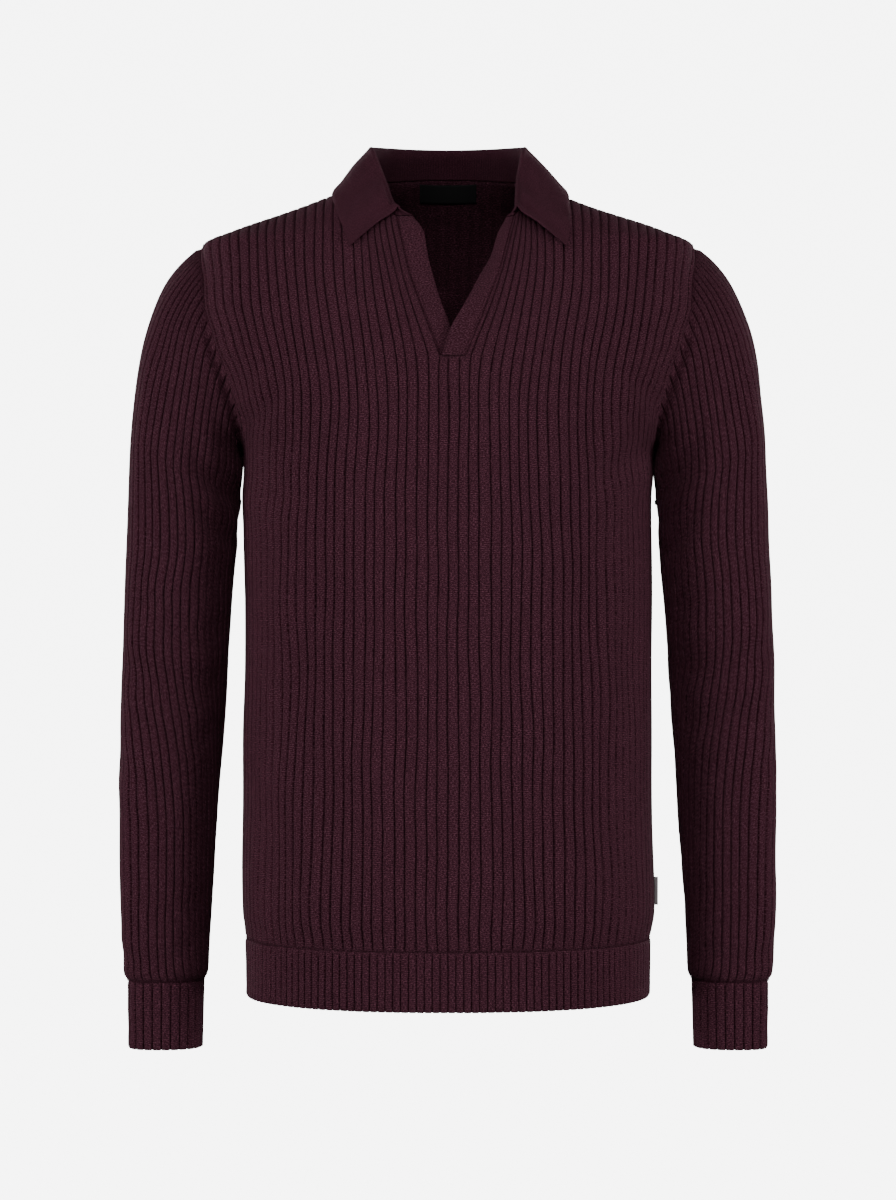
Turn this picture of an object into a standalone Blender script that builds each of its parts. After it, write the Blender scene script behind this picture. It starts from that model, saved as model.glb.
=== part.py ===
"""Long-sleeved rib knit polo sweater, filled out and hollow as when it is worn, with nobody in it.

Metres, +Z up. The front faces -Y, and the wearer's left is +X. The origin is the middle of the neck
base, level with the shoulder tops. Sizes below are in millimetres, and solid() turns them to metres.

Every wall is drawn inwards from one smooth outer form. The ribs are raised in its outer points, over a
plain inside. Pieces that are sewn together stop a seam gap apart.
"""

import bpy
import numpy as np

MILLIMETRE = 0.001
SEAM_GAP = 0.3
FRONT = -1
BACK = 1

# Knit
RIB_RELIEF = 1.5          # from a groove up to a rib's crest
GROOVE_WALL = 1.5         # cloth under a groove
EDGE_WALL = 1.6           # cloth at a seamed edge, where the ribs sink in
FINE_WALL = 2.0           # collar and opening bands
PANEL_QUARTER = 237.0     # half of one panel, round the body
PANEL_RIBS = 56           # across one panel
HEM_RIBS = 76
SLEEVE_RIB = 7.4
SLEEVE_RIBS = 46          # round the upper arm
CUFF_RIBS = 24

# Heights
HEM_EDGE = -683.0
HEM_JOIN = -634.0
UNDERARM = -220.0
SLIT_FOOT = -146.0
CHEST = -128.0            # above it the rib lines make for their places on the shoulder
SHOULDER_POINT = -43.0
CUFF_JOIN = -668.0
CUFF_EDGE = -726.0

# Where the sleeve's sewn edge starts to ease away from the panels, and how soon it is clear of them
UNDERARM_EASE = -110.0
UNDERARM_RUN = 60.0
SHORT_SLEEVE = 12.0       # the least that a rib runs on below the upper arm

# Shoulders and neck
SHOULDER_X = 213.0
NECK_X = 74.0             # where the neckline crosses the shoulder
NECK_Z = 14.0
BACK_NECK_Z = 25.0
SLIT_TOP_Z = -26.0
NECK_RIB = 62.0           # the place across a panel that reaches NECK_X
ACROSS_RIB = 207.4        # the place across a panel that runs up the armhole

# The body's outer form: level, half width, depth to the front, depth to the back, squareness.
BODY_FORM = np.array([
    (-683, 173.0, 130, 121, 2.30),
    (-634, 173.5, 129, 121, 2.30),
    (-612, 176.0, 132, 124, 2.30),
    (-560, 175.5, 131, 122, 2.30),
    (-450, 174.5, 127, 118, 2.30),
    (-340, 174.2, 124, 115, 2.30),
    (-250, 174.6, 124, 117, 2.30),
    (-220, 176.2, 123, 119, 2.35),
    (-196, 186.5, 122, 120, 2.40),
    (-158, 205.0, 118, 120, 2.40),
    (-128, 219.0, 113, 118, 2.40),
    (-103, 220.0, 106, 115, 2.35),
    (-75, 217.0, 96, 111, 2.25),
    (-43, 213.0, 84, 104, 2.05),
    (-32, 188.0, 80, 101, 1.95),
    (-17, 146.0, 74, 97, 1.90),
    (-7, 117.0, 70, 93, 1.90),
    (6, 84.0, 64, 88, 1.90),
    (14, 74.0, 60, 85, 1.90),
    (25, 66.0, 56, 80, 1.90),
])

# The armhole: level, distance in front of and behind the side line, place across the panel.
ARMHOLE = np.array([
    (-220, 0, 0, 237.0),
    (-214, 25, 24, 230.0),
    (-205, 40, 38, 224.0),
    (-196, 50, 47, 219.0),
    (-175, 59, 55, 212.0),
    (-146, 63, 58, 207.4),
    (-128, 61, 57, 207.4),
    (-103, 48, 48, 207.4),
    (-75, 33, 35, 207.4),
    (-56, 17, 19, 207.4),
    (-43, 0, 0, 207.4),
])

# The slit's edges in the front panel: level, distance to the wearer's right and to the left.
SLIT = np.array([
    (-146, 7.0, 14.5),
    (-108, 21.4, 30.0),
    (-76, 32.3, 41.6),
    (-36, 41.6, 52.5),
    (-26, 43.6, 55.2),
])
SLIT_RIBS = {-1: 2, 1: 3}  # half ribs between the middle and the slit's foot, on each side

# A sleeve: outer line x, z; inner line x, z; half depth; shift to the front; share of the armhole's shape.
SLEEVE_FORM = np.array([
    (213.0, -43, 176.6, -220, 58, 0.0, 1.00),
    (229.0, -57, 178.2, -222, 57, 0.0, 0.80),
    (243.0, -75, 178.6, -224, 56, 0.5, 0.58),
    (253.5, -98, 178.8, -227, 55, 1.0, 0.36),
    (261.5, -127, 178.9, -232, 54, 1.5, 0.18),
    (267.0, -163, 179.0, -241, 53, 2.0, 0.06),
    (271.0, -218, 179.2, -257, 52, 3.0, 0.00),
    (273.8, -285, 180.2, -290, 50, 4.5, 0.00),
    (276.3, -347, 184.6, -347, 47, 6.0, 0.00),
    (279.6, -450, 191.5, -450, 42, 9.0, 0.00),
    (279.4, -552, 198.0, -552, 36, 15.0, 0.00),
    (277.0, -630, 202.3, -630, 31, 20.0, 0.00),
    (275.6, -660, 203.4, -660, 29.5, 22.0, 0.00),
    (273.5, -668, 205.5, -668, 28, 22.5, 0.00),
])
UPPER_ARM_ROW = 6          # the row that goes straight round the upper arm
SLEEVE_SQUARENESS = 2.9
# Where ribs meet the armhole: share of the way round the sleeve, share of the way down the armhole.
CAP_SHARES = ((0.0, 0.0), (0.1, 0.035), (0.2, 0.08), (0.3, 0.14), (0.4, 0.22), (0.5, 0.33), (0.6, 0.455),
              (0.7, 0.58), (0.8, 0.70), (0.9, 0.83), (1.0, 1.0))

# A cuff: level, outer x, inner x, half depth.
CUFF_FORM = np.array([
    (-668, 272.0, 207.0, 26),
    (-726, 271.5, 208.5, 25),
])
CUFF_SHIFT = 22.5

# The opening bands: level, free edge's x on the wearer's right and left band, and how far behind the
# body's outer form the free edge (right, left) and the sewn edge (right, left) lie.
BANDS = np.array([
    (-145.7, 8.0, -5.0, 4.2, -0.6, 2.4, 0.6),
    (-123, 2.5, 2.5, 4.2, -0.6, 2.2, 0.7),
    (-100, -6.0, 15.0, 3.6, 1.0, 1.8, 0.9),
    (-80, -12.0, 25.0, 2.8, 9.0, 1.6, 1.2),
    (-58, -17.2, 37.0, 2.4, 15.5, 1.5, 1.4),
    (-41, -20.0, 42.0, 2.4, 14.0, 1.5, 1.4),
    (-26, -30.0, 50.0, 2.4, 11.0, 1.5, 1.4),
])

# The collar, from the middle of the back to its front edge: station, fold (x to the wearer's right, x to
# the left, y, z), outer edge of the leaf (the same four).
COLLAR = np.array([
    (0.00, 0, 0, 83, 49.5, 0, 0, 97, 3),
    (0.22, 44, 44, 65, 49.0, 61, 61, 70.5, 3),
    (0.45, 66, 66, 14, 46.0, 97, 97, 12, 3.5),
    (0.62, 64.5, 64.5, -18, 38.5, 96, 101, -38, -8),
    (0.82, 53, 59, -50, 6.0, 88, 101, -74, -32),
    (0.95, 46.0, 58, -69.0, -14, 81, 98, -86.0, -49.5),
    (1.00, 41.5, 58, -76.5, -18, 80, 97, -87.5, -53),
])
LEAF_SWELL = ((0.33, 1.8), (0.66, 1.6), (1.0, 0.0))  # share of the way down the leaf, swell
LEAF_CLEARANCE = 0.9
FOLD_RADIUS = 2.6
COLLAR_STATIONS = 13
FOOT_LIFT = 1.7           # from the neck seam up to the collar's foot
NECK_END = 0.95           # the collar's station at the end of the neckline; the rest runs over a band

# The label inside the back neck and the tab in the side seam
LABEL_WIDTH = 50.0
LABEL_TOP = 20.0
LABEL_HEIGHT = 15.5
LABEL_THICK = 0.8
LABEL_LIFT = 4.7          # from the body's outer form inwards, past the wall
TAB_TOP = -584.0
TAB_HEIGHT = 24.0
TAB_REACH = 5.2
TAB_THICK = 1.4

RIB_KNIT = ("rib_knit", (0.036, 0.011, 0.016), 0.92)
FINE_KNIT = ("fine_knit", (0.040, 0.013, 0.018), 0.90)
LABEL_CLOTH = ("label_cloth", (0.006, 0.006, 0.006), 0.60)
TAB_CLOTH = ("tab_cloth", (0.070, 0.062, 0.060), 0.70)


# --- Curves -------------------------------------------------------------------------------------------

def smooth(x, knots, values):
    """A curve through the values that never swings past them."""
    x = np.asarray(x, float)
    knots = np.asarray(knots, float)
    values = np.asarray(values, float)
    step = np.diff(knots)
    slope = np.diff(values) / step
    turn = np.zeros(len(knots))
    turn[0] = slope[0]
    turn[-1] = slope[-1]
    same_way = slope[1:] * slope[:-1] > 0
    total = np.where(same_way, slope[1:] + slope[:-1], 1.0)
    turn[1:-1] = np.where(same_way, 2.0 * slope[1:] * slope[:-1] / total, 0.0)
    i = np.clip(np.searchsorted(knots, x, side="right") - 1, 0, len(step) - 1)
    t = np.clip((x - knots[i]) / step[i], 0.0, 1.0)
    h = step[i]
    rise = values[i + 1] - values[i]
    bend = (turn[i] + turn[i + 1]) * h - 2.0 * rise
    lean = 3.0 * rise - (2.0 * turn[i] + turn[i + 1]) * h
    return values[i] + t * (turn[i] * h + t * (lean + t * bend))


def ease(t):
    """0 before 0, 1 after 1, and a soft start and stop between."""
    t = np.clip(t, 0.0, 1.0)
    return t * t * (3.0 - 2.0 * t)


def lengths_along(points):
    """The distance of each point from the first, along the line through them."""
    steps = np.linalg.norm(np.diff(points, axis=0), axis=1)
    return np.concatenate([[0.0], np.cumsum(steps)])


def read_line(points, places):
    """The points at the given shares of a line's length."""
    along = lengths_along(points)
    wanted = np.asarray(places, float) * along[-1]
    return np.stack([np.interp(wanted, along, points[:, i]) for i in range(3)], axis=1)


def read_pair(lines, place):
    """The points at the same place on two lines that run side by side, by the first one's length."""
    along = lengths_along(lines[0])
    wanted = place * along[-1]
    return np.array([[np.interp(wanted, along, line[:, i]) for i in range(3)] for line in lines])


def unit(vectors):
    """The same directions, one long."""
    return vectors / np.maximum(np.linalg.norm(vectors, axis=-1, keepdims=True), 1e-9)


def normals_of(grid):
    """Directions square to a grid of points, [across, along, xyz]."""
    across = np.gradient(grid, axis=0)
    along = np.gradient(grid, axis=1)
    return unit(np.cross(across, along))


# --- The body's outer form ----------------------------------------------------------------------------

def body_section(z, side):
    """Half width, depth and squareness of the body at a level."""
    depth_column = 2 if side == FRONT else 3
    return [float(smooth(z, BODY_FORM[:, 0], BODY_FORM[:, i])) for i in (1, depth_column, 4)]


def quarter(z, side):
    """Points of the body's outline at a level, from the middle of the front or back to the side."""
    width, depth, square = body_section(z, side)
    turn = np.linspace(0.0, np.pi / 2, 73)
    x = width * np.sin(turn) ** (2.0 / square)
    y = depth * np.cos(turn) ** (2.0 / square)
    y[-1] = 0.0
    return np.stack([x, side * y, np.full_like(x, z)], axis=1)


def on_body(x, z, side):
    """The point of the body's outer form over x, z."""
    width, depth, square = body_section(z, side)
    share = min(abs(x) / width, 1.0)
    return np.array([x, side * depth * (1.0 - share ** square) ** (1.0 / square), z])


def armhole_x(z, side):
    """How far out the armhole seam lies at a level."""
    width, depth, square = body_section(z, side)
    y_column = 1 if side == FRONT else 2
    share = min(float(smooth(z, ARMHOLE[:, 0], ARMHOLE[:, y_column])) / depth, 1.0)
    return width * (1.0 - share ** square) ** (1.0 / square)


def slit_x(z, hand):
    """How far the slit's edge lies from the middle at a level. hand is -1 for the wearer's right."""
    return float(smooth(z, SLIT[:, 0], SLIT[:, 1 if hand < 0 else 2]))


def outside_body(point):
    """How far a point lies outside the body's outer form, and the way straight out from it."""
    feel = 0.4  # how far to each side the form is felt for its slope

    def reach(at):
        width, depth, square = body_section(at[2], FRONT if at[1] < 0 else BACK)
        return ((abs(at[0]) / width) ** square + (abs(at[1]) / depth) ** square) ** (1.0 / square) - 1.0

    slope = np.array([(reach(point + step) - reach(point - step)) / (2 * feel) for step in np.eye(3) * feel])
    steep = np.linalg.norm(slope)
    return reach(point) / steep, slope / steep


def lifted(point, least):
    """The point, moved straight out until it clears the body's outer form."""
    tries = 4
    for _ in range(tries):
        distance, way = outside_body(point)
        point = point + way * max(least - distance, 0.0)
    return point


def ridge_z(x):
    """The shoulder line's height over x."""
    levels = np.linspace(SHOULDER_POINT, BODY_FORM[-1, 0], 681)
    widths = smooth(levels, BODY_FORM[:, 0], BODY_FORM[:, 1])
    return float(np.interp(x, widths[::-1], levels[::-1]))


def neck_z(x, side, hand):
    """The neckline's height over x, from the middle or the slit to the shoulder."""
    if side == BACK:
        return BACK_NECK_Z + (NECK_Z - BACK_NECK_Z) * (x / NECK_X) ** 2
    start = slit_x(SLIT_TOP_Z, hand)
    return SLIT_TOP_Z + (NECK_Z - SLIT_TOP_Z) * max((x - start) / (NECK_X - start), 0.0) ** 1.2


# --- Front and back panels ----------------------------------------------------------------------------

def half_rib():
    """From a groove to the next crest, across a panel."""
    return PANEL_QUARTER / PANEL_RIBS


def edge_place(side, hand):
    """Where the upper part of a half panel starts, across the panel."""
    return SLIT_RIBS[hand] * half_rib() if side == FRONT else 0.0


def top_x(place, side, hand):
    """Where a rib line ends at the neckline or the shoulder seam."""
    first = edge_place(side, hand)
    start = slit_x(SLIT_TOP_Z, hand) if side == FRONT else 0.0
    return float(np.interp(place, [first, NECK_RIB, ACROSS_RIB], [start, NECK_X, SHOULDER_X]))


def top_z(place, side, hand):
    """The height at which a rib line ends."""
    if place > ACROSS_RIB + 0.01:
        lower = ARMHOLE[ARMHOLE[:, 0] <= SLIT_FOOT]
        return float(np.interp(place, lower[::-1, 3], lower[::-1, 0]))
    x = top_x(place, side, hand)
    return neck_z(x, side, hand) if x < NECK_X else ridge_z(x)


def low_point(place, z, side, hand):
    """A point of a rib line below the chest, where ribs keep their pitch round the body."""
    line = quarter(z, side)
    along = lengths_along(line)
    last = along[-1]
    last_place = PANEL_QUARTER
    if z > UNDERARM:
        last = float(np.interp(armhole_x(z, side), line[:, 0], along))
        last_place = float(np.interp(z, ARMHOLE[:, 0], ARMHOLE[:, 3]))
    first = 0.0
    first_place = 0.0
    if side == FRONT and z > SLIT_FOOT and place >= edge_place(side, hand) - 0.01:
        first = float(np.interp(slit_x(z, hand), line[:, 0], along))
        first_place = edge_place(side, hand)
    share = (place - first_place) / (last_place - first_place)
    wanted = first + (last - first) * min(share, 1.0)
    return np.array([np.interp(wanted, along, line[:, i]) for i in range(3)])


def rib_point(place, z, side, hand):
    """The point of the outer form at a place across a panel (from the middle) and a level."""
    if z <= CHEST:
        point = low_point(place, z, side, hand)
    else:
        low = low_point(place, CHEST, side, hand)[0]
        start = slit_x(CHEST, hand) if side == FRONT else 0.0
        low_share = (low - start) / (armhole_x(CHEST, side) - start)
        end = top_z(place, side, hand)
        top_start = slit_x(min(end, SLIT_TOP_Z), hand) if side == FRONT else 0.0
        top_share = (top_x(place, side, hand) - top_start) / (SHOULDER_X - top_start)
        share = low_share + (top_share - low_share) * ease((z - CHEST) / (end - CHEST))
        first = slit_x(min(z, SLIT_TOP_Z), hand) if side == FRONT else 0.0
        last = armhole_x(z, side) if z < SHOULDER_POINT else SHOULDER_X
        point = on_body(first + (last - first) * share, z, side)
    return point * np.array([hand, 1.0, 1.0])


SKIRT_LEVELS = (-634, -627, -592, -430, -235)
CHEST_SHARES = (0.5, 0.86, 1.0)                       # from the skirt up to the slit's foot
YOKE_SHARES = (0.28, 0.52, 0.72, 0.87, 0.96, 1.0)     # from there up to the edge


def rib_line(place, side, hand, has_yoke):
    """Points up one rib line, a row each. Rows past its end are left empty."""
    end = top_z(place, side, hand)
    foot = SLIT_FOOT if has_yoke or place < ACROSS_RIB else end
    skirt = SKIRT_LEVELS[-1]
    levels = list(SKIRT_LEVELS) + [skirt + (foot - skirt) * share for share in CHEST_SHARES]
    rows = [rib_point(place, z, side, hand) for z in levels]
    if not has_yoke:
        return np.array(rows + [np.full(3, np.nan)] * len(YOKE_SHARES))
    finer = 1.0 - (1.0 - np.linspace(0.0, 1.0, 41)) ** 2
    yoke = np.array([rib_point(place, foot + (end - foot) * t, side, hand) for t in finer])
    if top_x(place, side, hand) >= NECK_X:
        yoke[-1, 1] = 0.0
    return np.concatenate([np.array(rows), read_line(yoke, YOKE_SHARES)])


def panel_columns(side):
    """The half ribs of a panel and whether each runs on up the yoke, from the wearer's right to left."""
    columns = []
    for number in range(-PANEL_RIBS, PANEL_RIBS + 1):
        hand = -1 if number < 0 else 1
        place = abs(number) * half_rib()
        over_slit = side == FRONT and abs(number) < SLIT_RIBS[hand]
        columns.append((number, hand, place, place < ACROSS_RIB + 0.01 and not over_slit))
    return columns


def kept_columns(columns, side):
    """The numbers of the columns that the plain inside of a panel keeps."""
    across = round(ACROSS_RIB / half_rib())
    kept = {PANEL_RIBS, PANEL_RIBS - 4, across} | set(range(across - 4, 6, -4))
    numbers = {n for k in kept for n in (k, -k)}
    numbers |= {-SLIT_RIBS[-1], SLIT_RIBS[1]} if side == FRONT else {-6, -3, 0, 3, 6}
    return [i for i, column in enumerate(columns) if column[0] in numbers]


def panel_grid(side):
    """A panel's outer form, [across, up, xyz], with the side and shoulder edges off the seam line."""
    columns = panel_columns(side)
    grid = np.array([rib_line(place, side, hand, yoke) for _, hand, place, yoke in columns])
    grid[:, :, 1] = side * np.maximum(side * grid[:, :, 1], SEAM_GAP / 2)
    return columns, grid


def panel_walls(columns, grid, side):
    """Outer and inner points of a panel. Ribs stand between its edges and sink into its seams."""
    rows = len(SKIRT_LEVELS) + len(CHEST_SHARES)
    outward = np.full_like(grid, np.nan)
    yoke = np.array([column[3] for column in columns])
    outward[:, :rows] = normals_of(grid[:, :rows])
    for hand in (-1, 1):
        part = [i for i, column in enumerate(columns) if column[3] and column[1] == hand]
        if side == BACK:
            part = np.flatnonzero(yoke)
        outward[part] = normals_of(grid[part])
    outward *= 1 if np.nansum(outward[..., 1]) * side > 0 else -1
    edge = edge_mask(cell_mask(columns, grid.shape[1], side))
    outward = mitre(outward, columns, side)
    crest = np.array([abs(column[0]) % 2 for column in columns], float)[:, None]
    near_underarm = np.zeros_like(edge)
    near_underarm[[i for i, column in enumerate(columns) if column[2] > ACROSS_RIB], rows - 2] = True
    sink = RIB_RELIEF * (1.0 - crest * ~(edge | near_underarm))
    outer = grid - outward * sink[..., None]
    depth = np.where(edge, RIB_RELIEF + EDGE_WALL, RIB_RELIEF + GROOVE_WALL)
    return outer, grid - outward * depth[..., None]


def mitre(outward, columns, side):
    """Turns the directions at the side, shoulder and hem seams into the seam's own plane."""
    turned = outward.copy()
    turned[[0, -1], :, 1] = 0.0
    turned[:, 0, 2] = 0.0
    for i, (_, hand, place, has_yoke) in enumerate(columns):
        if has_yoke and top_x(place, side, hand) >= NECK_X:
            turned[i, -1, 1] = 0.0
    return unit(turned)


def cell_mask(columns, rows, side):
    """Which cells between the columns and rows are cloth. [column, row], True where there is cloth."""
    low_rows = len(SKIRT_LEVELS) + len(CHEST_SHARES) - 1
    mask = np.zeros((len(columns) - 1, rows - 1), bool)
    mask[:, :low_rows] = True
    for i, (near, far) in enumerate(zip(columns[:-1], columns[1:])):
        same_half = side == BACK or near[1] == far[1] or 0 in (near[0], far[0])
        mask[i, low_rows:] = near[3] and far[3] and same_half
    return mask


# --- Walls ----------------------------------------------------------------------------------------------

def edge_mask(cells):
    """Which points lie on the edge of the cloth. A point inside has cloth in all four cells round it."""
    padded = np.pad(cells, 1)
    return ~(padded[:-1, :-1] & padded[1:, :-1] & padded[:-1, 1:] & padded[1:, 1:])


def cell_edges(cells, across):
    """The edge of the cloth as a loop of (column, row), the cloth on its left."""
    follow = {}
    for i in range(cells.shape[0]):
        for k in range(cells.shape[1]):
            if not cells[i, k]:
                continue
            corners = [(i, k), (i + 1, k), (i + 1, k + 1), (i, k + 1)]
            beside = [(i, k - 1), (i + 1, k), (i, k + 1), (i - 1, k)]
            for n, (ni, nk) in enumerate(beside):
                inside = 0 <= ni < cells.shape[0] and 0 <= nk < cells.shape[1]
                if not (inside and cells[ni, nk]):
                    follow[corners[n]] = corners[(n + 1) % 4]
    loop = [(0, 0)]
    while follow[loop[-1]] != loop[0]:
        loop.append(follow[loop[-1]])
    return [(across[i], k) for i, k in loop]


def ribbed_wall(outer, inner, cells, kept):
    """Vertices and faces of a closed wall: every column outside, and only the kept columns inside."""
    rows = outer.shape[1]
    coarse = np.array([cells[a:b].all(axis=0) for a, b in zip(kept[:-1], kept[1:])])
    number = {}
    vertices = []

    def vertex(layer, column, row):
        key = (layer, column, row)
        if key not in number:
            number[key] = len(vertices)
            vertices.append((outer if layer == 0 else inner)[column, row])
        return number[key]

    faces = []
    for i in range(cells.shape[0]):
        for k in range(rows - 1):
            if cells[i, k]:
                corners = [(i, k), (i + 1, k), (i + 1, k + 1), (i, k + 1)]
                faces.append([vertex(0, a, b) for a, b in corners])
    for i in range(coarse.shape[0]):
        for k in range(rows - 1):
            if coarse[i, k]:
                near, far = kept[i], kept[i + 1]
                corners = [(near, k + 1), (far, k + 1), (far, k), (near, k)]
                faces.append([vertex(1, a, b) for a, b in corners])
    outside = cell_edges(cells, list(range(cells.shape[0] + 1)))
    inside = set(cell_edges(coarse, list(kept)))
    marks = [n for n, corner in enumerate(outside) if corner in inside]
    for n, mark in enumerate(marks):
        stop = marks[(n + 1) % len(marks)]
        count = (stop - mark) % len(outside)
        chain = [outside[(mark + c) % len(outside)] for c in range(count + 1)]
        half = count // 2
        near, far = vertex(1, *chain[0]), vertex(1, *chain[-1])
        for c in range(count):
            hold = near if c < half else far
            faces.append([vertex(0, *chain[c + 1]), vertex(0, *chain[c]), hold])
        faces.append([vertex(0, *chain[half]), near, far])
    return np.array(vertices), faces


def plain_wall(grid, thick, outward):
    """Vertices and faces of a wall of one thickness, whose outer points are a full grid."""
    inner = grid - outward * thick
    cells = np.ones((grid.shape[0] - 1, grid.shape[1] - 1), bool)
    return ribbed_wall(grid, inner, cells, list(range(grid.shape[0])))


def material(look):
    """A cloth's plain finish, made once."""
    name, colour, roughness = look
    made = bpy.data.materials.get(name)
    if made is None:
        made = bpy.data.materials.new(name)
        made.use_nodes = True
        shader = made.node_tree.nodes["Principled BSDF"]
        shader.inputs["Base Color"].default_value = (*colour, 1.0)
        shader.inputs["Roughness"].default_value = roughness
        shader.inputs["Metallic"].default_value = 0.0
        made.diffuse_color = (*colour, 1.0)
    return made


def solid(name, vertices, faces, look):
    """One named piece, from points in millimetres, with its faces turned outwards."""
    corners = np.asarray(vertices, float)
    volume = 0.0
    for face in faces:
        for n in range(1, len(face) - 1):
            a, b, c = corners[face[0]], corners[face[n]], corners[face[n + 1]]
            volume += np.dot(a, np.cross(b, c))
    turned = [list(reversed(face)) for face in faces] if volume < 0 else faces
    mesh = bpy.data.meshes.new(name)
    mesh.from_pydata((corners * MILLIMETRE).tolist(), [], turned)
    mesh.materials.append(material(look))
    mesh.shade_smooth()
    mesh.set_sharp_from_angle(angle=0.35)
    piece = bpy.data.objects.new(name, mesh)
    bpy.context.scene.collection.objects.link(piece)
    return piece


# --- The pieces -----------------------------------------------------------------------------------------

def make_panel(name, side):
    """Front or back, and the armhole and neck edges that the sleeves and the collar are sewn to."""
    columns, grid = panel_grid(side)
    outer, inner = panel_walls(columns, grid, side)
    cells = cell_mask(columns, grid.shape[1], side)
    solid(name, *ribbed_wall(outer, inner, cells, kept_columns(columns, side)), RIB_KNIT)
    armholes = {hand: [armhole_edge(columns, wall, hand) for wall in (outer, inner)] for hand in (-1, 1)}
    middle = (outer + inner) / 2
    necks = {hand: neck_edge(columns, middle, side, hand) for hand in (-1, 1)}
    slits = {hand: slit_edge(columns, outer, hand) for hand in (-1, 1)} if side == FRONT else None
    return armholes, necks, slits


def slit_edge(columns, wall, hand):
    """One edge of the front's slit, from its foot up."""
    low_rows = len(SKIRT_LEVELS) + len(CHEST_SHARES)
    column = [i for i, c in enumerate(columns) if c[0] == hand * SLIT_RIBS[hand]][0]
    return wall[column, low_rows - 1:]


def armhole_edge(columns, wall, hand):
    """Points of a panel's armhole edge, from the shoulder down to the underarm."""
    low_rows = len(SKIRT_LEVELS) + len(CHEST_SHARES)
    order = sorted((column[2], i) for i, column in enumerate(columns) if column[1] == hand or column[0] == 0)
    across = [i for place, i in order if place < ACROSS_RIB + 0.01][-1]
    points = [wall[across, k] for k in range(wall.shape[1] - 1, low_rows - 2, -1)]
    points += [wall[i, low_rows - 1] for place, i in order if place > ACROSS_RIB + 0.01]
    return np.array(points)


def neck_edge(columns, wall, side, hand):
    """The middle of a half panel's neck edge, from its front or back end to the shoulder."""
    order = sorted((place, i) for i, (_, near, place, yoke) in enumerate(columns)
                   if yoke and (near == hand or place == 0) and top_x(place, side, hand) < NECK_X)
    return np.array([wall[i, -1] for _, i in order])


def ellipse_half(row, side):
    """Half of a sleeve's ring, from its outer line to its inner line, on the front or the back."""
    outer_x, outer_z, inner_x, inner_z, depth, shift, _ = row
    turn = np.linspace(0.0, np.pi, 97)
    reach = np.sign(np.cos(turn)) * np.abs(np.cos(turn)) ** (2.0 / SLEEVE_SQUARENESS)
    swell = np.sin(turn) ** (2.0 / SLEEVE_SQUARENESS)
    swell[-1] = 0.0
    middle = np.array([(outer_x + inner_x) / 2, -shift, (outer_z + inner_z) / 2])
    half = np.array([(outer_x - inner_x) / 2, 0.0, (outer_z - inner_z) / 2])
    return middle + reach[:, None] * half + swell[:, None] * np.array([0.0, side * depth, 0.0])


def sleeve_ring(row, side, edge):
    """Half of a sleeve's ring that takes up some of the armhole's shape."""
    plain = ellipse_half(row, side)
    share = row[6]
    if share == 0.0:
        return plain
    places = np.linspace(0.0, 1.0, 97)
    first = ellipse_half(SLEEVE_FORM[0], side)
    return read_line(plain, places) + share * (read_line(edge, places) - read_line(first, places))


def cap_share(share, follow):
    """The place on a cap's ring of a rib at a share of the way round. follow is 1 at the armhole."""
    there = float(smooth(share, *zip(*CAP_SHARES)))
    return share + (there - share) * follow


def sleeve_row(level):
    """The sleeve's sizes at a level below the upper arm."""
    rows = SLEEVE_FORM[UPPER_ARM_ROW:]
    levels = (rows[:, 1] + rows[:, 3]) / 2
    return np.array([smooth(-level, -levels, rows[:, i]) for i in range(7)])


LOWER_SLEEVE_SHARES = (0.18, 0.38, 0.58, 0.78, 0.965, 1.0)
BAND_SHOULDER = 6.0                                   # how far under a seam a rib band reaches its form


def sleeve_grid(side, edge):
    """The outer form of a sleeve's front or back half, [across, down, xyz], for the wearer's left."""
    rows = SLEEVE_FORM[:UPPER_ARM_ROW + 1]
    rings = [sleeve_ring(row, side, edge) for row in rows]
    top = (rows[-1][1] + rows[-1][3]) / 2
    levels = np.linspace(top, CUFF_JOIN, 60)
    lower = [ellipse_half(sleeve_row(level), side) for level in levels]
    girths = np.array([lengths_along(line)[-1] for line in lower])
    girth = SLEEVE_RIBS / 2 * SLEEVE_RIB
    columns = []
    for number in range(SLEEVE_RIBS + 1):
        place = number * SLEEVE_RIB / 2
        share = place / girth
        cap = [read_line(ring, [cap_share(share, row[6] ** 2)])[0] for ring, row in zip(rings, rows)]
        scaled = girths * (girth / girths[0])
        end = float(np.interp(-place, -scaled, levels)) if place > scaled[-1] else CUFF_JOIN
        end = min(end, top - SHORT_SLEEVE)
        down = []
        for step in LOWER_SLEEVE_SHARES:
            level = top + (end - top) * step
            line = ellipse_half(sleeve_row(level), side)
            full = np.interp(-level, -levels, scaled)
            down.append(read_line(line, [min(place / full, 1.0)])[0])
        columns.append(np.array(cap + down))
    return np.array(columns)


def sleeve_form(hand, front_edge, back_edge):
    """A sleeve's outer form round a tube sewn along its inner line, and the directions out of it."""
    sides = ((FRONT, front_edge), (BACK, back_edge))
    halves = [sleeve_grid(side, edge * np.array([hand, 1, 1])) for side, edge in sides]
    grid = np.concatenate([halves[0][::-1], halves[1][1:]])
    outward = normals_of(grid)
    if np.sum(outward * (grid - grid.mean(axis=0)[None])) < 0:
        outward = -outward
    outward[:, -1, 2] = 0.0
    outward[[0, -1], :, 1] = 0.0
    return grid, unit(outward)


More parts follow.
